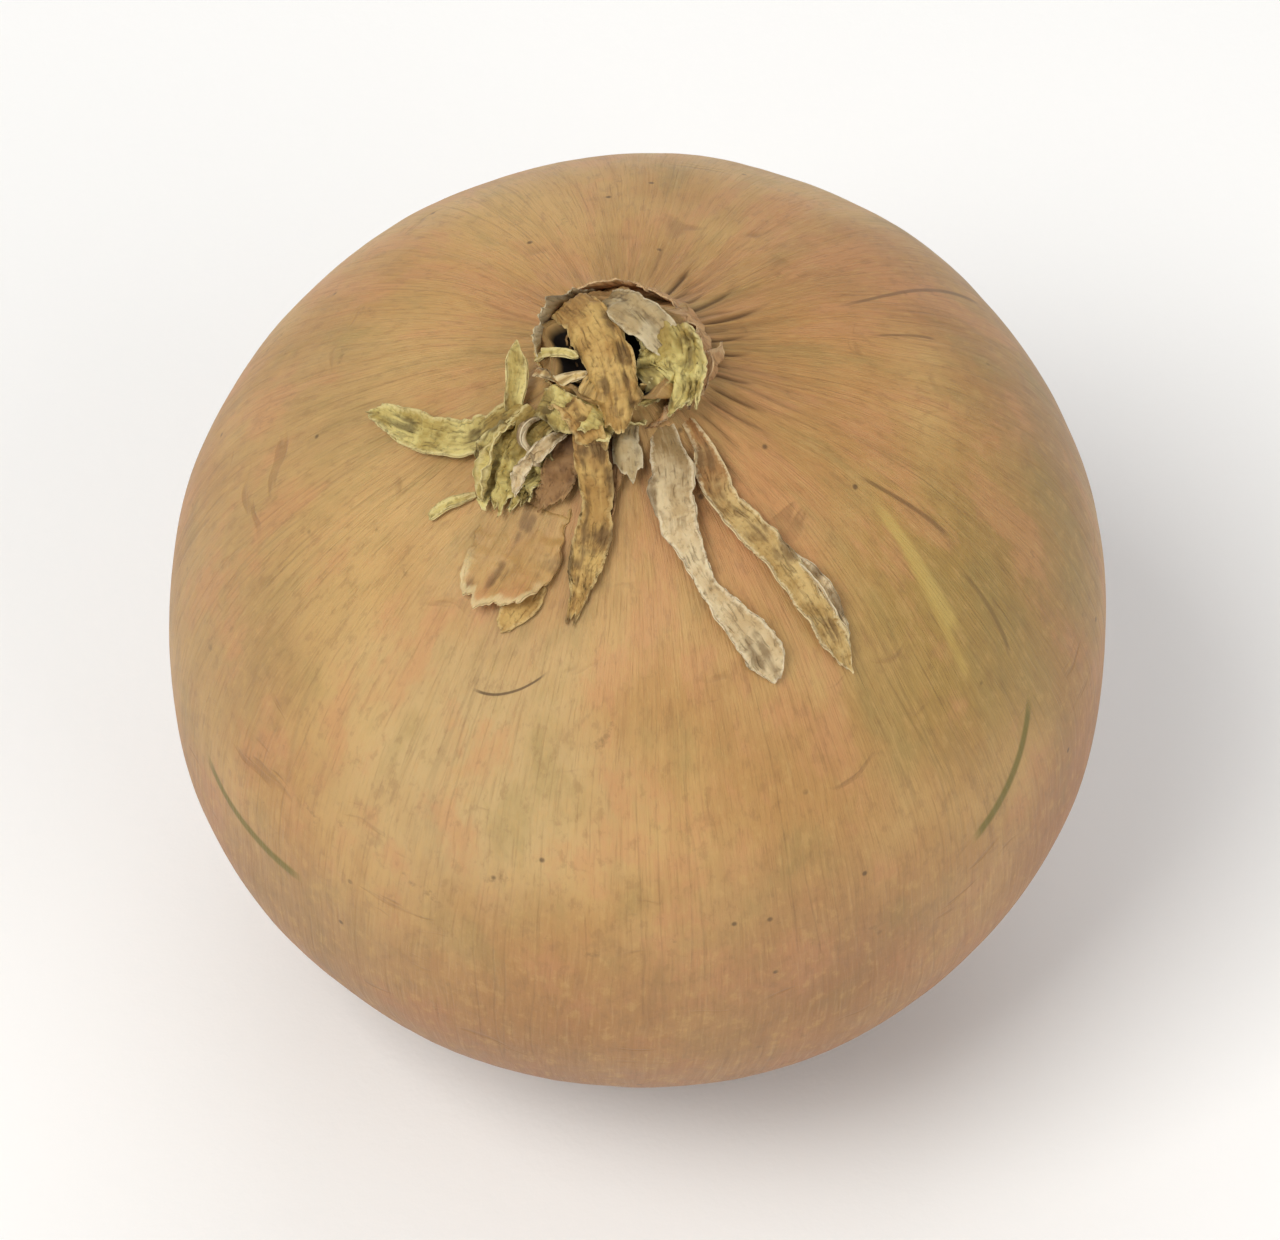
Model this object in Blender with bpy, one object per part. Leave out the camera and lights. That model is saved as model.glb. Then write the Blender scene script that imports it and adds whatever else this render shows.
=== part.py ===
"""A dry brown onion, 66 mm across, standing on the pad of its trimmed roots.

The bulb with its neck is one solid. The dried leaf ends that hang from the neck, the torn tongue of outer
skin beside them and the root pad are solids of their own, each a small gap away from the bulb.
Bearings are degrees round the Z axis, 0 at +X and 90 at +Y. The origin is the middle of the resting face.
"""

import math

import bmesh
import bpy
from mathutils import Vector

# Driving dimensions, in metres.
BULB_RADIUS = 0.033
BULB_HEIGHT = 0.0662  # from the lowest skin of the bulb to the rim of the neck
BULB_LIFT = 0.0018  # how far the roots hold the bulb off the surface
GAP = 0.0003

# The bulb's outline, from the floor of the root hollow to the neck's rim, as shares of radius and height.
BULB_OUTLINE = (
    (0.218, 0.020),
    (0.252, 0.004),
    (0.318, 0.000),
    (0.455, 0.021),
    (0.652, 0.083),
    (0.855, 0.195),
    (0.976, 0.330),
    (1.000, 0.459),
    (0.970, 0.587),
    (0.855, 0.714),
    (0.667, 0.816),
    (0.461, 0.879),
    (0.290, 0.919),
    (0.180, 0.949),
    (0.152, 0.975),
    (0.140, 1.000),
)
OUTLINE_STEPS = 3  # rings between two outline points
BULB_SIDES = 56
NECK_FOOT = 0.288 * BULB_RADIUS  # inside this reach the neck rises from the shoulder
NECK_FOOT_SLOPE = 0.25

# The bulb isn't quite round: (waves round the bulb, share of the radius, bearing of the crest).
LOBES = ((2, 0.006, 25.0), (3, 0.005, 300.0), (5, 0.002, 70.0))
# Above its foot the neck leans over towards this bearing, this far at its rim.
LEAN = 0.0035
LEAN_BEARING = math.radians(239)
LEAN_FOOT = BULB_LIFT + 0.873 * BULB_HEIGHT

NECK_FOLDS = 5
NECK_FOLD_SHARE = 0.10
NECK_FOLD_FOOT = BULB_LIFT + 0.914 * BULB_HEIGHT
NECK_TWIST = math.radians(50.0)
NECK_DISH = 0.0012  # the neck's end is sunk this far in its middle

# The root pad: a corky plate in the root hollow, over a pad of roots that rests on the surface.
PLATE_RADIUS = 0.0066
PAD_RADIUS = 0.0058
PAD_HEIGHT = 0.0014
PAD_SIDES = 28
ROOTS = 17
ROOT_RADIUS = 0.00055
ROOT_START = 0.0036  # each root leaves the pad from this reach
ROOT_END = 0.0094  # and is cut about here
ROOT_END_VARIATION = 0.0014
ROOT_HEIGHTS = (0.0011, 0.0009, 0.00075, 0.0006)
ROOT_SIDES = 6

LEAF_THICKNESS = 0.0008
FLAKE_THICKNESS = 0.0006
LEAF_STATIONS = 4  # stations between two route points

# The stations of each dried leaf end: (bearing in degrees, then in millimetres the reach from the axis, the
# rise over the shoulder and the width).
LEAF_ENDS = {
    "leaf_end_left": (
        (212, 9.4, 1.6, 1.8), (211, 11.3, 1.3, 2.2), (208, 13.0, 1.1, 2.4), (202, 14.1, 1.0, 2.4),
        (195, 15.8, 0.9, 2.2), (187, 17.6, 0.9, 1.6), (184, 18.5, 0.9, 1.0),
    ),
    "leaf_end_fringe": (
        (229, 7.2, 2.4, 2.4), (229, 9.4, 2.0, 3.2), (230, 11.6, 1.4, 3.6), (230, 13.6, 0.9, 2.6),
    ),
    "leaf_end_upright": (
        (206, 8.4, 1.7, 1.4), (198, 7.6, 2.3, 1.8), (186, 7.1, 2.9, 1.7), (172, 6.9, 3.4, 0.9),
    ),
    "leaf_end_fold": (
        (130, 4.0, 4.9, 1.6), (150, 1.7, 4.4, 2.2), (262, 1.4, 4.4, 2.6), (274, 4.2, 5.3, 2.6),
        (279, 6.2, 4.6, 2.2), (284, 6.7, 3.2, 1.6),
    ),
    "leaf_end_fan": (
        (22, 6.4, 4.2, 2.4), (357, 6.8, 3.9, 3.0), (334, 6.9, 3.5, 3.0), (313, 7.4, 3.0, 2.0),
    ),
    "leaf_end_front": (
        (250, 6.4, 3.4, 2.2), (254, 7.6, 3.8, 2.9), (256, 9.2, 3.0, 2.9), (256, 11.4, 1.8, 2.7),
        (257, 13.6, 1.1, 2.5), (257, 16.4, 0.9, 2.2), (257, 19.2, 0.9, 1.3),
    ),
    "leaf_end_grey": ((270, 6.9, 1.9, 1.5), (270, 8.6, 1.6, 1.8), (269, 10.6, 1.1, 1.5)),
    "leaf_end_long": (
        (290, 7.2, 1.6, 1.6), (284, 9.2, 1.4, 2.0), (282, 11.6, 1.0, 2.4), (283, 14.1, 0.9, 2.5),
        (285, 17.4, 0.9, 1.8), (290, 19.9, 0.9, 2.6), (293, 22.9, 1.0, 1.8),
    ),
    "leaf_end_side": (
        (304, 8.0, 1.5, 1.2), (299, 9.8, 1.2, 1.4), (297, 12.2, 1.0, 1.9), (301, 15.4, 0.9, 2.1),
        (304, 19.6, 0.9, 2.1), (305, 22.4, 0.9, 1.8), (305, 24.6, 1.0, 1.2),
    ),
}
SKIN_TONGUE = ((238, 15.1, 0.7, 3.2), (238, 17.0, 0.7, 4.6), (239, 19.2, 0.8, 4.4), (240, 21.0, 1.2, 2.8))

# Colour, roughness and metallic value of each finish.
FINISHES = {
    "dry_skin": ((0.52, 0.30, 0.14), 0.45, 0.0),
    "dried_leaf": ((0.42, 0.32, 0.12), 0.75, 0.0),
    "dried_root": ((0.20, 0.13, 0.06), 0.85, 0.0),
}


def curve_through(points, steps):
    """Points of a smooth curve (Catmull-Rom) that passes through the given ones."""
    given = [Vector(p) for p in points]
    padded = [2 * given[0] - given[1], *given, 2 * given[-1] - given[-2]]
    smooth = []
    for i in range(1, len(padded) - 2):
        a, b, c, d = padded[i - 1 : i + 3]
        for k in range(steps):
            t = k / steps
            bend = 2 * a - 5 * b + 4 * c - d
            close = 3 * b - a - 3 * c + d
            smooth.append(0.5 * (2 * b + (c - a) * t + bend * t**2 + close * t**3))
    return [*smooth, given[-1]]


def bulb_outline(steps):
    """The bulb's outline as (radius, height) in metres."""
    sized = [(r * BULB_RADIUS, BULB_LIFT + z * BULB_HEIGHT) for r, z in BULB_OUTLINE]
    return curve_through(sized, steps)


def lean_at(height):
    """How far the neck has leaned away from the Z axis at this height."""
    share = (height - LEAN_FOOT) / (BULB_LIFT + BULB_HEIGHT - LEAN_FOOT)
    lean = LEAN * max(0.0, share) ** 1.5
    return Vector((lean * math.cos(LEAN_BEARING), lean * math.sin(LEAN_BEARING), 0))


def on_ring(bearing, radius, height):
    """A point at this bearing (radians), radius and height, with the bulb's lobes and its leaning neck."""
    fullness = (radius / BULB_RADIUS) ** 2
    swell = sum(share * math.cos(n * (bearing - math.radians(crest))) for n, share, crest in LOBES)
    reach = radius * (1 + fullness * swell)
    return Vector((reach * math.cos(bearing), reach * math.sin(bearing), height)) + lean_at(height)


def shoulder_height(reach):
    """The height of the bulb's upper side at this distance from its axis, as if it had no neck."""
    upper = [p for p in bulb_outline(12) if p[1] > BULB_LIFT + 0.45 * BULB_HEIGHT]
    inside = max(0.0, NECK_FOOT - reach) * NECK_FOOT_SLOPE
    wanted = max(reach, NECK_FOOT)
    for outer, inner in zip(upper, upper[1:]):
        if inner[0] <= wanted <= outer[0]:
            share = (outer[0] - wanted) / (outer[0] - inner[0])
            return outer[1] + share * (inner[1] - outer[1]) + inside
    raise ValueError(f"reach {reach} lies outside the bulb")


def finish(name):
    """The named material, made once."""
    made = bpy.data.materials.get(name)
    if made is None:
        colour, roughness, metallic = FINISHES[name]
        made = bpy.data.materials.new(name)
        made.use_nodes = True
        shader = made.node_tree.nodes["Principled BSDF"]
        shader.inputs["Base Color"].default_value = (*colour, 1.0)
        shader.inputs["Roughness"].default_value = roughness
        shader.inputs["Metallic"].default_value = metallic
    return made


def add_object(name, shape, finish_name):
    """An object that holds a bmesh's shape, its faces turned outwards and shaded smooth."""
    bmesh.ops.recalc_face_normals(shape, faces=shape.faces)
    mesh = bpy.data.meshes.new(name)
    shape.to_mesh(mesh)
    shape.free()
    mesh.shade_smooth()
    mesh.set_sharp_from_angle(angle=math.radians(50))
    mesh.materials.append(finish(finish_name))
    made = bpy.data.objects.new(name, mesh)
    bpy.context.scene.collection.objects.link(made)
    return made


def add_tube(shape, rings, first_middle=None, last_middle=None):
    """Closed rings of points joined into a tube in the bmesh; an end with a middle point is fanned to it."""
    made = [[shape.verts.new(p) for p in ring] for ring in rings]
    sides = len(made[0])
    for low, high in zip(made, made[1:]):
        for i in range(sides):
            j = (i + 1) % sides
            shape.faces.new((low[i], low[j], high[j], high[i]))
    for ring, middle in ((made[0][::-1], first_middle), (made[-1], last_middle)):
        if middle is None:
            shape.faces.new(ring)
            continue
        centre = shape.verts.new(middle)
        for i in range(sides):
            shape.faces.new((ring[i], ring[(i + 1) % sides], centre))


def circle(radius, height, sides):
    """A ring of points round the Z axis."""
    turns = [2 * math.pi * i / sides for i in range(sides)]
    return [Vector((radius * math.cos(a), radius * math.sin(a), height)) for a in turns]


def neck_fold(bearing, height):
    """The share by which the twisted folds of the neck swell or pinch it here."""
    climb = max(0.0, (height - NECK_FOLD_FOOT) / (BULB_LIFT + BULB_HEIGHT - NECK_FOLD_FOOT))
    return NECK_FOLD_SHARE * min(1.0, climb * 2) * math.cos(NECK_FOLDS * bearing + NECK_TWIST * climb)


def build_bulb():
    """The bulb with its shoulder and its twisted, dried neck: one solid."""
    rings = []
    for radius, height in bulb_outline(OUTLINE_STEPS):
        turns = [2 * math.pi * i / BULB_SIDES for i in range(BULB_SIDES)]
        rings.append([on_ring(a, radius * (1 + neck_fold(a, height)), height) for a in turns])
    rim = BULB_LIFT + BULB_HEIGHT
    shape = bmesh.new()
    add_tube(shape, rings, last_middle=on_ring(0.0, 0.0, rim) - Vector((0, 0, NECK_DISH)))
    return add_object("bulb", shape, "dry_skin")


def strip_section(middle, side, face, width, thickness):
    """The eight corners of a strip's section: full thickness in its middle, half of it along its edges."""
    corners = (
        (-0.5, -0.25), (-0.25, -0.5), (0.25, -0.5), (0.5, -0.25),
        (0.5, 0.25), (0.25, 0.5), (-0.25, 0.5), (-0.5, 0.25),
    )
    return [middle + side * (across * width) + face * (depth * thickness) for across, depth in corners]


def strip_directions(middles, first_bearing):
    """Each section's (width direction, face direction), carried along the route without twisting it."""
    start = (middles[1] - middles[0]).normalized()
    side = Vector((-math.sin(first_bearing), math.cos(first_bearing), 0))
    if abs(start.dot(side)) > 0.7:  # a strip that starts round the neck stands on its edge
        side = Vector((0, 0, 1))
    directions = []
    for before, after in zip([middles[0], *middles], [*middles[1:], middles[-1]]):
        along = (after - before).normalized()
        side = (side - along * along.dot(side)).normalized()
        directions.append((side, along.cross(side)))
    return directions


def build_strip(name, route, thickness, finish_name):
    """A dried leaf end or a tongue of skin: a strip that follows its route over the neck and the shoulder."""
    stations = []
    for bearing, reach, rise, width in route:
        reach, rise, width = reach / 1000, rise / 1000, width / 1000
        middle = on_ring(math.radians(bearing), reach, shoulder_height(reach) + rise)
        stations.append((*middle, width))
    smooth = curve_through(stations, LEAF_STATIONS)
    middles = [Vector(station[:3]) for station in smooth]
    directions = strip_directions(middles, math.radians(route[0][0]))
    rings = []
    for middle, station, (side, face) in zip(middles, smooth, directions):
        rings.append(strip_section(middle, side, face, station[3], thickness))
    shape = bmesh.new()
    add_tube(shape, rings)
    return add_object(name, shape, finish_name)


def add_root(pad, index):
    """A cut root that splays out of the pad, joined to it by a Boolean union."""
    bearing = 2 * math.pi * index / ROOTS + math.radians(7) * math.sin(2.4 * index)
    end = ROOT_END + ROOT_END_VARIATION * math.sin(1.7 * index)
    rings = []
    for k, height in enumerate(ROOT_HEIGHTS):
        share = k / (len(ROOT_HEIGHTS) - 1)
        reach = ROOT_START + share * (end - ROOT_START)
        turn = bearing + math.radians(10) * share**2 * math.sin(3.1 * index)
        outwards = Vector((math.cos(turn), math.sin(turn), 0))
        side = Vector((-outwards.y, outwards.x, 0))
        middle = outwards * reach + Vector((0, 0, height))
        section = circle(ROOT_RADIUS * (1 - 0.35 * share), 0.0, ROOT_SIDES)
        rings.append([middle + side * corner.x + Vector((0, 0, corner.y)) for corner in section])
    shape = bmesh.new()
    add_tube(shape, rings)
    root = add_object(f"root_{index:02d}", shape, "dried_root")
    root.hide_render = True
    root.display_type = "WIRE"
    union = pad.modifiers.new(root.name, "BOOLEAN")
    union.operation = "UNION"
    union.object = root


def build_root_pad():
    """The corky root plate and the pad of trimmed roots under it, flat where it rests: one solid."""
    plate_top = bulb_outline(1)[0][1] - GAP
    rings = [
        circle(PAD_RADIUS, 0.0, PAD_SIDES),
        circle(PAD_RADIUS, PAD_HEIGHT, PAD_SIDES),
        circle(PLATE_RADIUS, PAD_HEIGHT + 0.0004, PAD_SIDES),
        circle(PLATE_RADIUS, plate_top, PAD_SIDES),
    ]
    shape = bmesh.new()
    add_tube(shape, rings)
    pad = add_object("root_pad", shape, "dried_root")
    for index in range(ROOTS):
        add_root(pad, index)
    return pad


def main():
    for old in list(bpy.data.objects):
        bpy.data.objects.remove(old)
    build_bulb()
    for name, route in LEAF_ENDS.items():
        build_strip(name, route, LEAF_THICKNESS, "dried_leaf")
    build_strip("skin_tongue", SKIN_TONGUE, FLAKE_THICKNESS, "dry_skin")
    build_root_pad()


main()
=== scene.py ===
"""The looks of a dry brown onion: papery skin, dried leaf ends on its neck and a tuft of trimmed roots.

Lengths are in metres unless a name or a docstring says millimetres, which the leaves and the marks on the
skin use. Bearings are degrees round the Z axis, 0 at +X and 90 at +Y. Reach is the distance from the onion's
axis, which leans over in the neck, and rise is the height over the skin of the shoulder.

The bare numbers inside calls of a noise or a pattern are its own scales and thresholds: how many cells it
has per millimetre or per turn, which part of the endless pattern is read, and where it takes effect.
"""

import logging
import math
from collections.abc import Sequence
from dataclasses import dataclass
from enum import Enum
from typing import Any

import bpy
import numpy as np
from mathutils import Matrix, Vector


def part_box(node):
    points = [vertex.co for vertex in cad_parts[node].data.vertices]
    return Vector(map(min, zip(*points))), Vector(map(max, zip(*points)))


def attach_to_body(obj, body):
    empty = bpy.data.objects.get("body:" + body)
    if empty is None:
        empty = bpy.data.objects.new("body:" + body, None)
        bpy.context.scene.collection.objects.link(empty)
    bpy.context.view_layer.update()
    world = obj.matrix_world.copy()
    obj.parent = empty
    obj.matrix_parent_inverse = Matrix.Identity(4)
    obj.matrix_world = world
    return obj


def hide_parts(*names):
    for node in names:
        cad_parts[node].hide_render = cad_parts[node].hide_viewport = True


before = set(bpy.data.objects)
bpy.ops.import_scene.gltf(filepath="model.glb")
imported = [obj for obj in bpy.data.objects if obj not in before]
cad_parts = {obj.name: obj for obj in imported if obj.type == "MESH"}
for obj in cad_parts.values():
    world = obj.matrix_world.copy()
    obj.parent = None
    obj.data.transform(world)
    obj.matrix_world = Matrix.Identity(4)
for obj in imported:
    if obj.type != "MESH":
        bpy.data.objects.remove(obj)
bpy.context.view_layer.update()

log = logging.getLogger("onion")
MM = 0.001
TINY = 1e-9
GRAIN_RADIUS_MM = 33.0
Colour = tuple[float, float, float, float]
Shade = tuple[int, int, int]


def screen_colour(shade: Shade) -> Colour:
    """Turn a screen colour, 0 to 255, into the linear one that shaders use."""
    linear = [s / 12.92 if s <= 0.04045 else ((s + 0.055) / 1.055) ** 2.4 for s in (c / 255 for c in shade)]
    return (linear[0], linear[1], linear[2], 1.0)


def smooth_curve(points: Sequence[Sequence[float]] | np.ndarray, steps: int) -> np.ndarray:
    """Read a smooth curve (Catmull-Rom) that passes through the given points.

    Args:
        points: The points, each with any number of coordinates.
        steps: The number of pieces between two given points.

    Returns:
        The curve's points, one per row.
    """
    given = np.array(points, float)
    padded = np.vstack([2 * given[0] - given[1], given, 2 * given[-1] - given[-2]])
    shares = np.arange(steps)[:, None] / steps
    pieces = []
    for a, b, c, d in zip(padded, padded[1:], padded[2:], padded[3:]):
        bend = 2 * a - 5 * b + 4 * c - d
        close = 3 * b - a - 3 * c + d
        pieces.append(0.5 * (2 * b + (c - a) * shares + bend * shares**2 + close * shares**3))
    return np.vstack([*pieces, given[-1:]])


def smooth_step(values: np.ndarray, low: float, high: float) -> np.ndarray:
    """Rise smoothly from 0 at low to 1 at high, or fall if low is above high."""
    share = np.clip((values - low) / (high - low), 0.0, 1.0)
    return share * share * (3 - 2 * share)


def around_axis(bearings: np.ndarray, reach: np.ndarray | float, height: np.ndarray) -> np.ndarray:
    """Give the points at these bearings (radians), reaches and heights, with x, y and z in the last axis."""
    return np.stack(np.broadcast_arrays(reach * np.cos(bearings), reach * np.sin(bearings), height), -1)


def past_back(bearing: Any) -> Any:
    """Give a bearing in the skin's own count, 90 to 450 degrees, which starts and ends at the back."""
    return (bearing - 90) % 360 + 90


class Noise:
    """Smooth repeatable noise from -1 to 1 on three axes, read from a seeded lattice that repeats."""

    SIZE = 32
    LAYER_STEPS = (7.3, 3.1)
    CREASE_STEPS = (5.7, 9.1)

    def __init__(self, seed: int) -> None:
        """Draw the lattice from the seed."""
        self.lattice = np.random.default_rng(seed).uniform(-1, 1, (self.SIZE,) * 3)

    def at(self, x: np.ndarray, y: np.ndarray, z: np.ndarray | float = 0.0) -> np.ndarray:
        """Read the noise at points whose coordinates are given in lattice cells."""
        axes = np.broadcast_arrays(x, y, z)
        cells = [np.floor(a).astype(int) for a in axes]
        shares = [a - c for a, c in zip(axes, cells)]
        fades = [s**3 * (s * (s * 6 - 15) + 10) for s in shares]
        total = np.zeros(axes[0].shape)
        for corner in np.ndindex(2, 2, 2):
            index = tuple((c + k) % self.SIZE for c, k in zip(cells, corner))
            weights = [f if k else 1 - f for f, k in zip(fades, corner)]
            total += self.lattice[index] * weights[0] * weights[1] * weights[2]
        return total

    def octaves(
        self, x: np.ndarray, y: np.ndarray, z: np.ndarray | float = 0.0, count: int = 3
    ) -> np.ndarray:
        """Add finer and weaker copies of the noise to it."""
        x_step, z_step = self.LAYER_STEPS
        layers = [
            self.at(x * 2**k + x_step * k, y * 2**k, z * 2**k + z_step * k) / 2**k for k in range(count)
        ]
        return sum(layers) / (2 - 2 ** (1 - count))

    def creases(
        self, x: np.ndarray, y: np.ndarray, z: np.ndarray | float = 0.0, count: int = 3
    ) -> np.ndarray:
        """Read noise with sharp crests, like crumpled paper, from 0 in the flats to 1 on a crest."""
        x_step, z_step = self.CREASE_STEPS
        layers = [
            (1 - np.abs(self.at(x * 2**k + x_step * k, y * 2**k, z + z_step * k))) ** 2 / 2**k
            for k in range(count)
        ]
        return sum(layers) / (2 - 2 ** (1 - count))


# ----------------------------------------------------------------------------------------------------
# Shader expressions
# ----------------------------------------------------------------------------------------------------


class Maths(Enum):
    """The operations of a Math node that the finishes use."""

    ADD = "ADD"
    SUBTRACT = "SUBTRACT"
    MULTIPLY = "MULTIPLY"
    DIVIDE = "DIVIDE"
    ABSOLUTE = "ABSOLUTE"


class Value:
    """What a shader socket gives, with Python's arithmetic for numbers."""

    def __init__(self, shader: "Shader", socket: bpy.types.NodeSocket) -> None:
        """Wrap the socket of a node in this shader."""
        self.shader = shader
        self.socket = socket

    def __add__(self, other: "Value | float") -> "Value":
        """Add."""
        return self.shader.maths(Maths.ADD, self, other)

    def __radd__(self, other: float) -> "Value":
        """Add, with the number on the left."""
        return self.shader.maths(Maths.ADD, other, self)

    def __sub__(self, other: "Value | float") -> "Value":
        """Subtract."""
        return self.shader.maths(Maths.SUBTRACT, self, other)

    def __rsub__(self, other: float) -> "Value":
        """Subtract from the number on the left."""
        return self.shader.maths(Maths.SUBTRACT, other, self)

    def __mul__(self, other: "Value | float") -> "Value":
        """Multiply."""
        return self.shader.maths(Maths.MULTIPLY, self, other)

    def __rmul__(self, other: float) -> "Value":
        """Multiply, with the number on the left."""
        return self.shader.maths(Maths.MULTIPLY, other, self)

    def __truediv__(self, other: "Value | float") -> "Value":
        """Divide."""
        return self.shader.maths(Maths.DIVIDE, self, other)

    def __abs__(self) -> "Value":
        """Drop the sign."""
        return self.shader.maths(Maths.ABSOLUTE, self, 0.0)


class Shader:
    """The nodes of one material: a Principled BSDF and the expressions that feed it."""

    def __init__(self, name: str, fixed: dict[str, Any]) -> None:
        """Make the material.

        Args:
            name: The material's name.
            fixed: The values of the surface's sockets that are the same all over.
        """
        self.material = bpy.data.materials.new(name)
        self.material.use_nodes = True
        self.tree = self.material.node_tree
        self.surface = self.tree.nodes["Principled BSDF"]
        for socket, value in fixed.items():
            self.surface.inputs[socket].default_value = value

    def node(self, kind: str, settings: dict[str, Any], sockets: dict[str | int, Any]) -> bpy.types.Node:
        """Add a node.

        Args:
            kind: The node's type.
            settings: Its settings, which are set first.
            sockets: The values or links of its inputs, by name or number.

        Returns:
            The new node.
        """
        made = self.tree.nodes.new(kind)
        for name, value in settings.items():
            setattr(made, name, value)
        for name, value in sockets.items():
            self.feed(made.inputs[name], value)
        return made

    def feed(self, socket: bpy.types.NodeSocket, value: Any) -> None:
        """Link a value to a socket, or set a plain number, vector or colour on it."""
        if isinstance(value, Value):
            self.tree.links.new(value.socket, socket)
        else:
            socket.default_value = value

    def output(self, node: bpy.types.Node, name: str | int = 0) -> Value:
        """Read an output of a node."""
        return Value(self, node.outputs[name])

    def maths(self, operation: Maths, first: Value | float, second: Value | float) -> Value:
        """Add a Math node."""
        return self.output(self.node("ShaderNodeMath", {"operation": operation.value}, {0: first, 1: second}))

    def attribute(self, name: str, output: str) -> Value:
        """Read an attribute of the mesh: its Vector or its Fac."""
        return self.output(self.node("ShaderNodeAttribute", {"attribute_name": name}, {}), output)

    def place_mm(self) -> Value:
        """Read the point's place on the object, in millimetres."""
        place = self.output(self.node("ShaderNodeTexCoord", {}, {}), "Object")
        return self.stretch(place, (1 / MM, 1 / MM, 1 / MM))

    def stretch(self, vector: Value, factors: tuple[float, float, float]) -> Value:
        """Multiply each part of a vector by its own factor."""
        return self.output(
            self.node("ShaderNodeVectorMath", {"operation": "MULTIPLY"}, {0: vector, 1: factors})
        )

    def shift(self, vector: Value, other: Value) -> Value:
        """Add two vectors."""
        return self.output(self.node("ShaderNodeVectorMath", {"operation": "ADD"}, {0: vector, 1: other}))

    def distance(self, vector: Value, point: tuple[float, float, float]) -> Value:
        """Measure how far a vector is from a fixed point."""
        node = self.node("ShaderNodeVectorMath", {"operation": "DISTANCE"}, {0: vector, 1: point})
        return self.output(node, "Value")

    def parts(self, vector: Value) -> tuple[Value, Value, Value]:
        """Take a vector apart."""
        node = self.node("ShaderNodeSeparateXYZ", {}, {0: vector})
        return self.output(node, 0), self.output(node, 1), self.output(node, 2)

    def noise(self, vector: Value, scale: float, detail: float = 3.0, roughness: float = 0.55) -> Value:
        """Read noise from 0 to 1.

        Args:
            vector: Where it is read.
            scale: The number of cells per unit of the vector.
            detail: The number of finer layers.
            roughness: The share that each finer layer keeps.

        Returns:
            The noise, mostly between 0.3 and 0.7.
        """
        sockets = {"Vector": vector, "Scale": scale, "Detail": detail, "Roughness": roughness}
        return self.output(self.node("ShaderNodeTexNoise", {}, sockets), "Fac")

    def wander(self, vector: Value, scale: float, amount: float) -> Value:
        """Shift a vector by up to about the amount, so that a straight pattern wavers."""
        sockets = {"Vector": vector, "Scale": scale, "Detail": 2.0}
        colour = self.output(self.node("ShaderNodeTexNoise", {}, sockets), "Color")
        middle = (0.5, 0.5, 0.5)
        centred = self.node("ShaderNodeVectorMath", {"operation": "SUBTRACT"}, {0: colour, 1: middle})
        return self.shift(vector, self.stretch(self.output(centred), (amount, amount, amount)))

    def cells(self, vector: Value, scale: float, feature: str = "F1") -> Value:
        """Read a pattern of cells: the distance to the nearest cell's middle or edge."""
        sockets = {"Vector": vector, "Scale": scale}
        return self.output(self.node("ShaderNodeTexVoronoi", {"feature": feature}, sockets), "Distance")

    def rising(self, value: Value, low: float, high: float) -> Value:
        """Rise smoothly from 0 at low to 1 at high."""
        settings = {"interpolation_type": "SMOOTHSTEP"}
        sockets = {"Value": value, "From Min": low, "From Max": high, "To Min": 0.0, "To Max": 1.0}
        return self.output(self.node("ShaderNodeMapRange", settings, sockets))

    def falling(self, value: Value, low: float, high: float) -> Value:
        """Fall smoothly from 1 at low to 0 at high."""
        return 1 - self.rising(value, low, high)

    def mix(self, share: Value | float, under: Value | Shade, over: Value | Shade) -> Value:
        """Put one colour over another.

        Args:
            share: How much of the upper colour shows, 0 to 1.
            under: The lower colour.
            over: The upper colour.

        Returns:
            The mixed colour.
        """
        low, high = (c if isinstance(c, Value) else screen_colour(c) for c in (under, over))
        settings = {"data_type": "RGBA", "blend_type": "MIX", "clamp_factor": True}
        return self.output(self.node("ShaderNodeMix", settings, {0: share, 6: low, 7: high}), 2)

    def finish(self, colour: Value, roughness: Value, relief: Value, depth: float) -> bpy.types.Material:
        """Feed the surface and give the material.

        Args:
            colour: The base colour.
            roughness: The roughness, 0 to 1.
            relief: The height of the fine relief, 0 to 1.
            depth: What a relief of 1 measures, in metres.

        Returns:
            The finished material.
        """
        bump = self.node("ShaderNodeBump", {}, {"Strength": 1.0, "Distance": depth, "Height": relief})
        self.feed(self.surface.inputs["Base Color"], colour)
        self.feed(self.surface.inputs["Roughness"], roughness)
        self.feed(self.surface.inputs["Normal"], self.output(bump))
        return self.material


# ----------------------------------------------------------------------------------------------------
# The onion's form, as the CAD model has it
# ----------------------------------------------------------------------------------------------------


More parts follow.
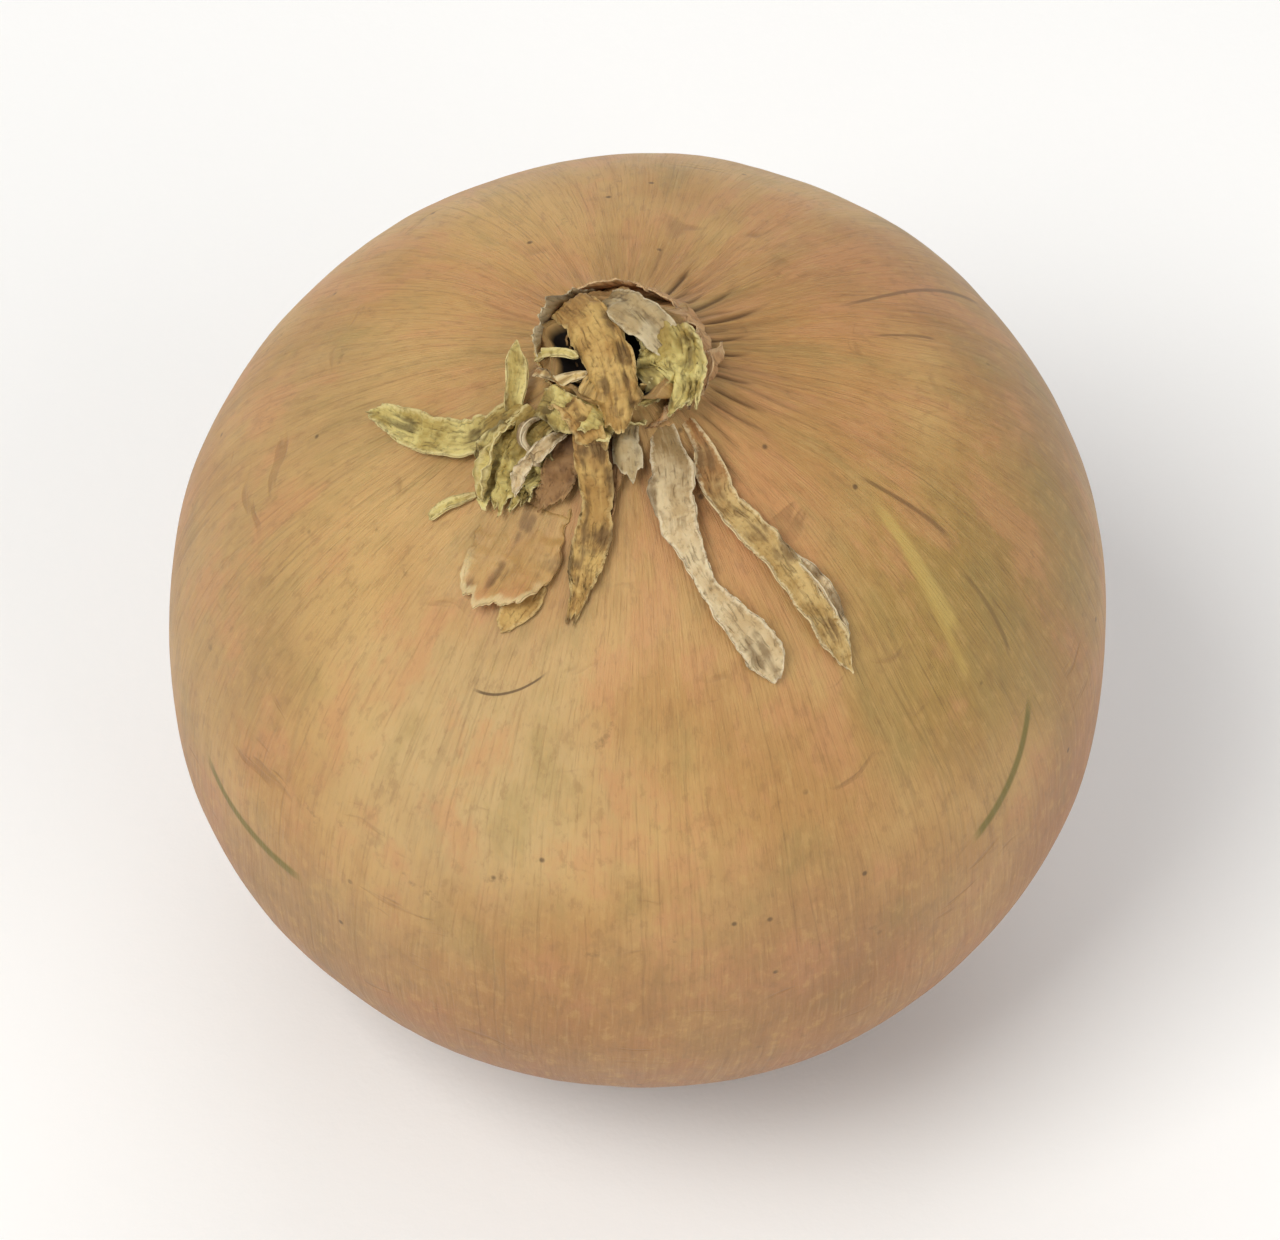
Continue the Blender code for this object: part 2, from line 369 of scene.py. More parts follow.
@dataclass(frozen=True)
class OnionForm:
    """The form of the bulb and its neck, which every piece is placed on."""

    lift: float
    height: float
    radius: float = 0.033
    outline: tuple[tuple[float, float], ...] = (
        (0.218, 0.020), (0.252, 0.004), (0.318, 0.000), (0.455, 0.021), (0.652, 0.083), (0.855, 0.195),
        (0.976, 0.330), (1.000, 0.459), (0.970, 0.587), (0.855, 0.714), (0.667, 0.816), (0.461, 0.879),
        (0.290, 0.919), (0.180, 0.949), (0.152, 0.975), (0.140, 1.000),
    )
    lobes: tuple[tuple[int, float, float], ...] = ((2, 0.006, 25.0), (3, 0.005, 300.0), (5, 0.002, 70.0))
    lean: float = 0.0035
    lean_bearing: float = 239.0
    lean_foot_share: float = 0.873
    neck_foot_share: float = 0.288
    neck_foot_slope: float = 0.25
    shoulder_from: float = 0.45
    push_none_mm: float = -2.0
    push_full_mm: float = -1.0

    def outline_points(self, steps: int) -> np.ndarray:
        """Give the outline as (reach, height) rows, from the floor of the root hollow to the neck's rim."""
        sized = [(r * self.radius, self.lift + z * self.height) for r, z in self.outline]
        return smooth_curve(sized, steps)

    def lean_at(self, heights: np.ndarray) -> np.ndarray:
        """Give how far the axis has leaned over at each height, as (x, y) in the last axis."""
        foot = self.lift + self.lean_foot_share * self.height
        share = np.clip((heights - foot) / (self.lift + self.height - foot), 0.0, None)
        bearing = math.radians(self.lean_bearing)
        return (self.lean * share**1.5)[..., None] * np.array([math.cos(bearing), math.sin(bearing)])

    def on_ring(self, bearings: np.ndarray, reaches: np.ndarray, heights: np.ndarray) -> np.ndarray:
        """Give the points at these bearings (radians), reaches and heights, with the lobes and the lean."""
        bearings, reaches, heights = np.broadcast_arrays(bearings, reaches, heights)
        fullness = (reaches / self.radius) ** 2
        swell = sum(share * np.cos(n * (bearings - math.radians(crest))) for n, share, crest in self.lobes)
        reach = reaches * (1 + fullness * swell)
        points = around_axis(bearings, reach, heights)
        points[..., :2] += self.lean_at(heights)
        return points

    def shoulder_height(self, reaches: np.ndarray) -> np.ndarray:
        """Give the height of the bulb's upper side at each reach, as if it had no neck."""
        points = self.outline_points(12)
        upper = points[points[:, 1] > self.lift + self.shoulder_from * self.height][::-1]
        foot = self.neck_foot_share * self.radius
        inside = np.clip(foot - reaches, 0.0, None) * self.neck_foot_slope
        return np.interp(np.maximum(reaches, foot), upper[:, 0], upper[:, 1]) + inside

    def reach_at(self, heights: np.ndarray) -> np.ndarray:
        """Give the reach of the bulb's side at each height above its lowest skin."""
        points = self.outline_points(12)
        rising = points[points[:, 1].argmin():]
        return np.interp(heights, rising[:, 1], rising[:, 0])

    def on_skin_mm(self, bearing: float, height_mm: float) -> tuple[float, float, float]:
        """Give the point of the skin at this bearing and height, in millimetres."""
        height = np.array(height_mm * MM)
        point = self.on_ring(np.array(math.radians(bearing)), self.reach_at(height), height) / MM
        return (float(point[0]), float(point[1]), float(point[2]))

    def keep_outside(self, points: np.ndarray, clearance: np.ndarray) -> np.ndarray:
        """Move points that are closer to the skin than their clearance, or just under it, straight out of it.

        Points deep under the skin and points over the neck's rim stay where they are.

        Args:
            points: The points, (..., 3).
            clearance: The least distance that each keeps, (...).

        Returns:
            The moved points.
        """
        outline = self.outline_points(8)
        along = np.gradient(outline, axis=0)
        normals = np.stack([along[:, 1], -along[:, 0]], -1)
        normals /= np.linalg.norm(normals, axis=1, keepdims=True)
        centred = points[..., :2] - self.lean_at(points[..., 2])
        reach = np.linalg.norm(centred, axis=-1)
        flat = np.stack([reach, points[..., 2]], -1)
        nearest = ((flat[..., None, :] - outline) ** 2).sum(-1).argmin(-1)
        normal = normals[nearest]
        height = ((flat - outline[nearest]) * normal).sum(-1)
        near = smooth_step(height, self.push_none_mm * MM, self.push_full_mm * MM)
        near = near * (points[..., 2] < outline[-1, 1])
        push = np.clip(clearance - height, 0.0, None) * near
        outwards = centred / np.maximum(reach, TINY)[..., None]
        moved = points.copy()
        moved[..., :2] += outwards * (push * normal[..., 0])[..., None]
        moved[..., 2] += push * normal[..., 1]
        return moved


def read_form() -> OnionForm:
    """Take the bulb's height and its lift off the surface from the CAD model."""
    low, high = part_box("bulb")
    return OnionForm(lift=low.z, height=high.z - low.z)


# ----------------------------------------------------------------------------------------------------
# Meshes
# ----------------------------------------------------------------------------------------------------


class MeshBuilder:
    """Collects points, faces and per-point values, and makes an object of them."""

    def __init__(self) -> None:
        """Start empty."""
        self.points: list[np.ndarray] = []
        self.faces: list[tuple[int, ...]] = []
        self.values: dict[str, list[np.ndarray]] = {}
        self.count = 0

    def add_points(self, points: np.ndarray, values: dict[str, np.ndarray]) -> np.ndarray:
        """Add a block of points.

        Args:
            points: The points, (..., 3).
            values: The values of the shader's attributes at them, (...) or (..., 3).

        Returns:
            The points' numbers, in the block's own shape.
        """
        shape = points.shape[:-1]
        numbers = self.count + np.arange(points.size // 3).reshape(shape)
        self.points.append(points.reshape(-1, 3))
        self.count += points.size // 3
        for name, value in values.items():
            flat = value.reshape(-1, 3) if value.ndim > len(shape) else value.reshape(-1)
            self.values.setdefault(name, []).append(flat)
        return numbers

    def add_grid(self, numbers: np.ndarray, closed: bool = False) -> None:
        """Join a grid of points with four-sided faces; a closed one joins its last column to its first."""
        if closed:
            numbers = np.hstack([numbers, numbers[:, :1]])
        a, b, c, d = numbers[:-1, :-1], numbers[:-1, 1:], numbers[1:, 1:], numbers[1:, :-1]
        self.faces.extend(map(tuple, np.stack([a, b, c, d], -1).reshape(-1, 4).tolist()))

    def add_fan(self, ring: np.ndarray, middle: int) -> None:
        """Close a ring of points onto a middle point."""
        following = np.roll(ring, -1)
        self.faces.extend((int(a), int(b), middle) for a, b in zip(ring, following))

    def make(self, name: str, material: bpy.types.Material) -> bpy.types.Object:
        """Make the object, shaded smooth.

        Args:
            name: The piece's name.
            material: Its material.

        Returns:
            The new object, linked to the scene.
        """
        mesh = bpy.data.meshes.new(name)
        mesh.from_pydata(np.vstack(self.points).tolist(), [], self.faces)
        for attribute, blocks in self.values.items():
            together = np.concatenate(blocks)
            kind, field = ("FLOAT_VECTOR", "vector") if together.ndim > 1 else ("FLOAT", "value")
            made = mesh.attributes.new(attribute, kind, "POINT")
            made.data.foreach_set(field, together.astype(np.float32).ravel())
        mesh.shade_smooth()
        mesh.materials.append(material)
        mesh.update()
        piece = bpy.data.objects.new(name, mesh)
        bpy.context.scene.collection.objects.link(piece)
        return piece


def grid_normals(points: np.ndarray) -> np.ndarray:
    """Give the unit normals of an open grid of points, (rows, columns, 3)."""
    across = np.gradient(points, axis=1)
    along = np.gradient(points, axis=0)
    normals = np.cross(along, across)
    return normals / np.maximum(np.linalg.norm(normals, axis=-1, keepdims=True), TINY * MM)


def add_sheet(
    builder: MeshBuilder, middle: np.ndarray, thickness: float, values: dict[str, np.ndarray]
) -> None:
    """Add a thin closed sheet round a grid of points.

    Args:
        builder: Where it goes.
        middle: The sheet's middle surface, (rows, columns, 3).
        thickness: Its thickness in metres.
        values: The values of the shader's attributes at the grid's points.
    """
    offset = grid_normals(middle) * (thickness / 2)
    front = builder.add_points(middle + offset, values)
    back = builder.add_points(middle - offset, values)
    builder.add_grid(front[:, ::-1])
    builder.add_grid(back)
    edge_front = np.concatenate([front[0, :-1], front[:-1, -1], front[-1, :0:-1], front[:0:-1, 0]])
    edge_back = np.concatenate([back[0, :-1], back[:-1, -1], back[-1, :0:-1], back[:0:-1, 0]])
    builder.add_grid(np.stack([edge_front, edge_back])[:, ::-1], closed=True)


def skin_values(points: np.ndarray, dark: np.ndarray, lip: np.ndarray) -> dict[str, np.ndarray]:
    """Give what the skin's finish reads, for a loose piece of skin.

    Args:
        points: The piece's points.
        dark: How much painted shade darkens its folds, 0 to 1.
        lip: How much of the pale torn edge shows, 0 to 1.

    Returns:
        The values of the skin's attributes at the points.
    """
    x, y, z = np.moveaxis(points / MM, -1, 0)
    bearing = past_back(np.degrees(np.arctan2(y, x)))
    reach = np.hypot(x, y)
    grain = np.stack([GRAIN_RADIUS_MM * x / reach, GRAIN_RADIUS_MM * y / reach, z - reach], -1)
    place = np.stack([bearing, reach, z], -1)
    return {"grain": grain, "place": place, "crease_shade": 0.5 * dark, "hollow": 0 * dark, "lip": lip}


def attach(piece: bpy.types.Object, slot: str, *nodes: str) -> None:
    """Make a piece ride with the onion and hide the CAD nodes that it stands for."""
    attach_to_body(piece, "root")
    if nodes:
        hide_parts(*nodes)
    log.info("%s: %d points", piece.name, len(piece.data.vertices))


# ----------------------------------------------------------------------------------------------------
# Finishes
# ----------------------------------------------------------------------------------------------------


class Run(Enum):
    """Which way a line on the skin mostly runs."""

    ROUND = "round"
    UP = "up"


@dataclass(frozen=True)
class SkinPatch:
    """A soft patch of another colour: its middle, its radius in millimetres, its colour and its strength."""

    bearing: float
    height_mm: float
    radius_mm: float
    colour: Shade
    strength: float


@dataclass(frozen=True)
class SkinLine:
    """A thin line on the skin: its ends as (bearing, height in mm), its bow, its width and its colour."""

    start: tuple[float, float]
    end: tuple[float, float]
    bow: float
    width_mm: float
    colour: Shade
    strength: float
    run: Run


@dataclass(frozen=True)
class SkinFinish:
    """The papery outer skin: tan, with fibres and veins from neck to root, olive and pink patches and marks.

    The grain vector runs round the onion in x and y and from root to neck in z, in millimetres, so a small
    third factor draws a pattern out into fibres.
    """

    pale: Shade = (205, 165, 104)
    tan: Shade = (187, 141, 82)
    brown: Shade = (166, 116, 68)
    moss: Shade = (158, 136, 78)
    rose: Shade = (204, 146, 98)
    fibre: Shade = (138, 98, 56)
    # Painted shade: the next three colours darken the creases, the hollows and the lower half towards the
    # root.
    crease_shade: Shade = (66, 40, 20)
    hollow: Shade = (24, 14, 8)
    underside_painted_shade: Shade = (142, 84, 44)
    lip: Shade = (226, 202, 150)
    root_brown: Shade = (112, 74, 42)
    speck: Shade = (84, 60, 34)
    patches: tuple[SkinPatch, ...] = (
        SkinPatch(328, 52, 15, (166, 134, 66), 0.8),
        SkinPatch(350, 47, 15, (164, 128, 74), 0.65),
        SkinPatch(18, 47, 16, (162, 124, 78), 0.6),
        SkinPatch(36, 58, 11, (178, 124, 78), 0.6),
        SkinPatch(5, 61, 9, (196, 142, 82), 0.6),
        SkinPatch(300, 61, 8, (204, 142, 92), 0.6),
        SkinPatch(140, 62, 12, (202, 154, 92), 0.5),
        SkinPatch(200, 47, 14, (174, 140, 90), 0.6),
        SkinPatch(176, 55, 12, (176, 140, 88), 0.55),
        SkinPatch(222, 26, 16, (172, 138, 88), 0.5),
        SkinPatch(246, 50, 15, (210, 184, 132), 0.6),
        SkinPatch(285, 36, 14, (180, 142, 92), 0.5),
        SkinPatch(340, 28, 16, (172, 116, 66), 0.6),
        SkinPatch(296, 34, 13, (160, 108, 64), 0.5),
        SkinPatch(120, 40, 18, (196, 144, 90), 0.5),
        SkinPatch(75, 26, 14, (170, 118, 70), 0.5),
    )
    lines: tuple[SkinLine, ...] = (
        SkinLine((205, 36.4), (226, 34.4), -0.9, 0.62, (118, 102, 18), 0.9, Run.ROUND),
        SkinLine((331, 44.6), (314, 38.6), -0.9, 0.62, (112, 100, 18), 0.85, Run.ROUND),
        SkinLine((330, 58.8), (325, 51.5), -0.8, 0.9, (206, 176, 98), 0.6, Run.UP),
        SkinLine((327, 57), (322.5, 49), -0.8, 0.5, (202, 170, 92), 0.45, Run.UP),
        SkinLine((332.5, 59.6), (335.5, 55), 0.9, 0.36, (88, 60, 30), 0.55, Run.UP),
        SkinLine((332.6, 53.8), (330.6, 47.6), 0.7, 0.28, (104, 74, 40), 0.45, Run.UP),
        SkinLine((24, 60.6), (31, 49.2), 3, 0.30, (106, 78, 50), 0.6, Run.UP),
        SkinLine((15.2, 59.4), (17, 56.4), 0.6, 0.24, (96, 70, 44), 0.5, Run.UP),
        SkinLine((242, 54), (254, 55.9), -0.55, 0.10, (84, 60, 34), 0.8, Run.ROUND),
    )

    def build(self, form: OnionForm) -> bpy.types.Material:
        """Make the skin's material.

        Args:
            form: The onion's form, which the marks are placed on.

        Returns:
            The finished material.
        """
        shader = Shader(
            "dry_skin",
            {
                "Subsurface Weight": 0.1,
                "Subsurface Radius": (1.0, 0.45, 0.2),
                "Subsurface Scale": 0.001,
                "Specular IOR Level": 0.42,
                "Coat Roughness": 0.3,
                "Coat Weight": 0.06,
            },
        )
        place = shader.place_mm()
        grain = shader.wander(shader.attribute("grain", "Vector"), 0.05, 2.4)
        bearing, height = shader.parts(shader.attribute("place", "Vector"))[::2]
        fine = shader.noise(shader.stretch(grain, (1.0, 1.0, 0.05)), 4.0, 4.0, 0.65)
        broad = shader.noise(shader.stretch(grain, (1.0, 1.0, 0.06)), 0.5, 3.0, 0.5)
        veins = self.veins(shader, grain)
        mottle = shader.noise(shader.stretch(grain, (1.0, 1.0, 0.7)), 1.05, 5.0, 0.66)
        blush = shader.noise(shader.stretch(grain, (1.0, 1.0, 0.7)), 0.16, 5.0, 0.65)
        cloud = shader.noise(place, 0.07, 3.0, 0.55)

        # The broad colours, then the patches, then what lies over them from broad to fine.
        colour = shader.mix(shader.rising(cloud, 0.36, 0.64), self.tan, self.pale)
        colour = shader.mix(0.3 * shader.rising(broad, 0.45, 0.75), colour, self.brown)
        for patch in self.patches:
            colour = self.add_patch(shader, colour, place, patch, form)
        colour = shader.mix(0.5 * shader.rising(blush, 0.5, 0.64), colour, self.rose)
        colour = shader.mix(0.45 * shader.falling(blush, 0.3, 0.5), colour, self.moss)
        # Painted shade: the lower half darkens towards the root, as a shaded underside does.
        colour = shader.mix(0.72 * shader.falling(height, 12.0, 50.0), colour, self.underside_painted_shade)
        colour = shader.mix(0.34 * shader.rising(mottle, 0.52, 0.68), colour, self.pale)
        colour = shader.mix(0.27 * shader.falling(mottle, 0.34, 0.48), colour, self.fibre)
        colour = shader.mix(0.30 * shader.rising(fine, 0.5, 0.72), colour, self.fibre)
        colour = shader.mix(0.26 * shader.falling(fine, 0.28, 0.48), colour, self.pale)
        # The veins take the dark colour of the painted crease shade as their own.
        colour = shader.mix(0.12 * veins, colour, self.crease_shade)
        colour, scratches = self.add_scratches(shader, colour, place)
        for line in self.lines:
            colour = self.add_line(shader, colour, bearing, height, line)
        # Small round specks, smudges, and what the mesh says about creases, torn edges and hollows, whose
        # darkening is painted shade.
        specks = shader.cells(place, 0.30)
        dots = shader.falling(specks, 0.03, 0.085) * shader.rising(shader.noise(place, 0.09), 0.47, 0.56)
        colour = shader.mix(0.75 * dots, colour, self.speck)
        smudges = shader.rising(shader.noise(place, 0.33, 5.0, 0.7), 0.64, 0.74)
        colour = shader.mix(0.35 * smudges, colour, self.speck)
        crease_shade = shader.attribute("crease_shade", "Fac")
        hollow = shader.attribute("hollow", "Fac")
        # Painted shade in the creases.
        colour = shader.mix(crease_shade, colour, self.crease_shade)
        colour = shader.mix(0.75 * shader.falling(height, 2.5, 11.0), colour, self.root_brown)
        colour = shader.mix(0.75 * shader.attribute("lip", "Fac"), colour, self.lip)
        # Painted shade in the root hollow and the neck's cup.
        colour = shader.mix(hollow, colour, self.hollow)

        roughness = 0.34 + 0.2 * fine + 0.16 * mottle + 0.2 * crease_shade + 0.4 * hollow
        relief = 0.6 * fine + 0.12 * veins + 0.35 * mottle - 0.3 * scratches
        return shader.finish(colour, roughness, relief, 0.00018)

    def veins(self, shader: Shader, grain: Value) -> Value:
        """Draw thin lines a millimetre or two apart that run from neck to root, 0 to 1."""
        edges = shader.cells(shader.stretch(grain, (1.0, 1.0, 0.03)), 0.55, "DISTANCE_TO_EDGE")
        strength = shader.rising(shader.noise(shader.stretch(grain, (1.0, 1.0, 0.4)), 0.16, 3.0), 0.46, 0.62)
        return shader.falling(edges, 0.01, 0.05) * strength

    def add_patch(
        self, shader: Shader, colour: Value, place: Value, patch: SkinPatch, form: OnionForm
    ) -> Value:
        """Tint the skin in and round a patch."""
        middle = form.on_skin_mm(patch.bearing, patch.height_mm)
        away = shader.distance(place, middle) + 9.0 * (shader.noise(place, 0.16, 4.0, 0.6) - 0.5)
        share = patch.strength * shader.falling(away, 0.25 * patch.radius_mm, patch.radius_mm)
        return shader.mix(share, colour, patch.colour)

    def add_scratches(self, shader: Shader, colour: Value, place: Value) -> tuple[Value, Value]:
        """Draw the short faint scratches that cross the fibres."""
        slanted = shader.stretch(shader.wander(place, 0.12, 5.0), (0.16, 0.16, 1.4))
        marks = shader.rising(shader.noise(slanted, 0.9, 2.0, 0.4), 0.64, 0.72)
        share = marks * shader.rising(shader.noise(place, 0.13, 2.0), 0.5, 0.62)
        return shader.mix(0.45 * share, colour, self.fibre), share

    def add_line(self, shader: Shader, colour: Value, bearing: Value, height: Value, line: SkinLine) -> Value:
        """Draw one thin line, which follows a parabola and fades at its ends."""
        if line.run is Run.ROUND:
            along, across = bearing, height
            (first, level), (last, end_level) = line.start, line.end
            first, last = past_back(first), past_back(last)
            mm_per_unit = 1.0
        else:
            along, across = height, bearing
            (level, first), (end_level, last) = line.start, line.end
            level, end_level = past_back(level), past_back(end_level)
            mm_per_unit = 0.5
        share = (along - first) / (last - first)
        curve = level + (end_level - level) * share + (4 * line.bow) * share * (1 - share)
        off = abs(across - curve) * mm_per_unit
        ends = shader.rising(share, 0.0, 0.15) * shader.falling(share, 0.85, 1.0)
        mask = shader.falling(off, 0.35 * line.width_mm, line.width_mm) * ends
        return shader.mix(line.strength * mask, colour, line.colour)


class LeafTone(Enum):
    """The sorts of dried leaf on the neck, each with its own colours."""

    GOLDEN = "golden"
    OLIVE = "olive"
    SILVER = "silver"
    WHITE = "white"
    STRAW = "straw"
    BROWN = "brown"
    TAN = "tan"
    SKIN = "skin"


@dataclass(frozen=True)
class LeafFinish:
    """A dried leaf: parallel veins, another colour at its foot, pale worn edges and painted shade in its
    folds.
    """

    tone: LeafTone
    dark: Shade
    middle: Shade
    light: Shade
    edge: Shade
    foot: Shade

    def build(self) -> bpy.types.Material:
        """Make the leaf's material."""
        shader = Shader(
            f"leaf_{self.tone.value}",
            {
                "Subsurface Weight": 0.1,
                "Subsurface Radius": (1.0, 0.6, 0.25),
                "Subsurface Scale": 0.0005,
                "Specular IOR Level": 0.4,
            },
        )
        fibre = shader.wander(shader.attribute("fibre", "Vector"), 0.45, 0.8)
        streaks = shader.noise(shader.stretch(fibre, (1.0, 0.14, 1.0)), 2.8, 4.0, 0.65)
        cells = shader.cells(shader.stretch(fibre, (1.0, 0.09, 1.0)), 2.1, "DISTANCE_TO_EDGE")
        veins = shader.falling(cells, 0.01, 0.12) * shader.rising(shader.noise(fibre, 0.9, 2.0), 0.46, 0.62)
        cloud = shader.noise(fibre, 0.5, 3.0, 0.6)
        grit = shader.noise(fibre, 3.6, 3.0, 0.6)
        foot = shader.falling(shader.attribute("share", "Fac") + 0.35 * (cloud - 0.5), 0.12, 0.42)
        colour = shader.mix(shader.rising(cloud, 0.38, 0.62), self.middle, self.light)
        colour = shader.mix(0.8 * foot, colour, self.foot)
        colour = shader.mix(0.35 * shader.rising(streaks, 0.5, 0.66), colour, self.light)
        colour = shader.mix(0.45 * shader.falling(streaks, 0.3, 0.47), colour, self.dark)
        colour = shader.mix(0.35 * veins, colour, self.dark)
        rim = shader.attribute("rim", "Fac") + 0.6 * (grit - 0.5)
        colour = shader.mix(0.6 * shader.falling(rim, 0.05, 0.3), colour, self.edge)
        # Painted shade in the valleys of the folds.
        colour = shader.mix(0.7 * shader.attribute("valley_shade", "Fac"), colour, self.dark)
        colour = shader.mix(0.3 * shader.rising(grit, 0.54, 0.68), colour, self.dark)
        roughness = 0.55 + 0.3 * grit
        relief = 0.5 * streaks + 0.3 * grit - 0.5 * veins
        return shader.finish(colour, roughness, relief, 0.00012)


LEAF_FINISHES = (
    LeafFinish(
        LeafTone.GOLDEN, (80, 54, 24), (172, 132, 70), (202, 166, 98), (212, 184, 124), (150, 112, 62)
    ),
    LeafFinish(
        LeafTone.OLIVE, (76, 58, 24), (174, 150, 80), (212, 194, 122), (224, 208, 150), (146, 118, 56)
    ),
    LeafFinish(
        LeafTone.SILVER, (92, 70, 42), (174, 150, 106), (196, 178, 140), (212, 196, 160), (146, 120, 76)
    ),
    LeafFinish(
        LeafTone.WHITE, (112, 86, 50), (196, 168, 122), (214, 192, 150), (230, 214, 180), (134, 106, 62)
    ),
    LeafFinish(
        LeafTone.STRAW, (98, 68, 32), (180, 146, 86), (204, 174, 114), (230, 212, 168), (146, 94, 50)
    ),
    LeafFinish(LeafTone.BROWN, (52, 34, 18), (122, 86, 48), (152, 114, 70), (170, 134, 86), (88, 58, 30)),
    LeafFinish(
        LeafTone.TAN, (110, 74, 42), (186, 140, 92), (202, 160, 110), (214, 184, 140), (188, 142, 94)
    ),
)


@dataclass(frozen=True)
class RootFinish:
    """Dried roots and their corky plate: grey-brown with darker streaks, and painted shade on the plate and
    where the roots leave it.
    """

    dark: Shade = (48, 33, 22)
    middle: Shade = (104, 78, 54)
    light: Shade = (156, 128, 94)

    def build(self) -> bpy.types.Material:
        """Make the roots' material."""
        shader = Shader("dried_root", {"Specular IOR Level": 0.3})
        fibre = shader.attribute("fibre", "Vector")
        strand = shader.noise(shader.stretch(fibre, (0.0, 0.0, 1.0)), 1.3, 1.0)
        streaks = shader.noise(shader.stretch(fibre, (1.0, 0.2, 1.0)), 3.0, 3.0)
        rings = shader.noise(shader.stretch(fibre, (0.3, 1.0, 1.0)), 2.2, 3.0)
        colour = shader.mix(shader.rising(strand, 0.35, 0.65), self.dark, self.middle)
        colour = shader.mix(0.7 * shader.rising(streaks, 0.48, 0.7), colour, self.light)
        colour = shader.mix(0.5 * shader.falling(rings, 0.35, 0.48), colour, self.dark)
        # Painted shade on the plate and at the roots' bases.
        colour = shader.mix(shader.attribute("hollow", "Fac"), colour, self.dark)
        return shader.finish(colour, 0.7 + 0.2 * rings, 0.5 * streaks + 0.5 * rings, 0.00012)


# ----------------------------------------------------------------------------------------------------
# The bulb's skin
# ----------------------------------------------------------------------------------------------------


@dataclass(frozen=True)
class Wrinkle:
    """A hairline in the skin by the neck, sunk a little and darkened with painted shade: where it runs, how
    far it bends and how dark its painted shade is.
    """

    bearing: float
    inner_mm: float
    outer_mm: float
    bend: float
    width_mm: float
    depth_mm: float
    painted_shade: float


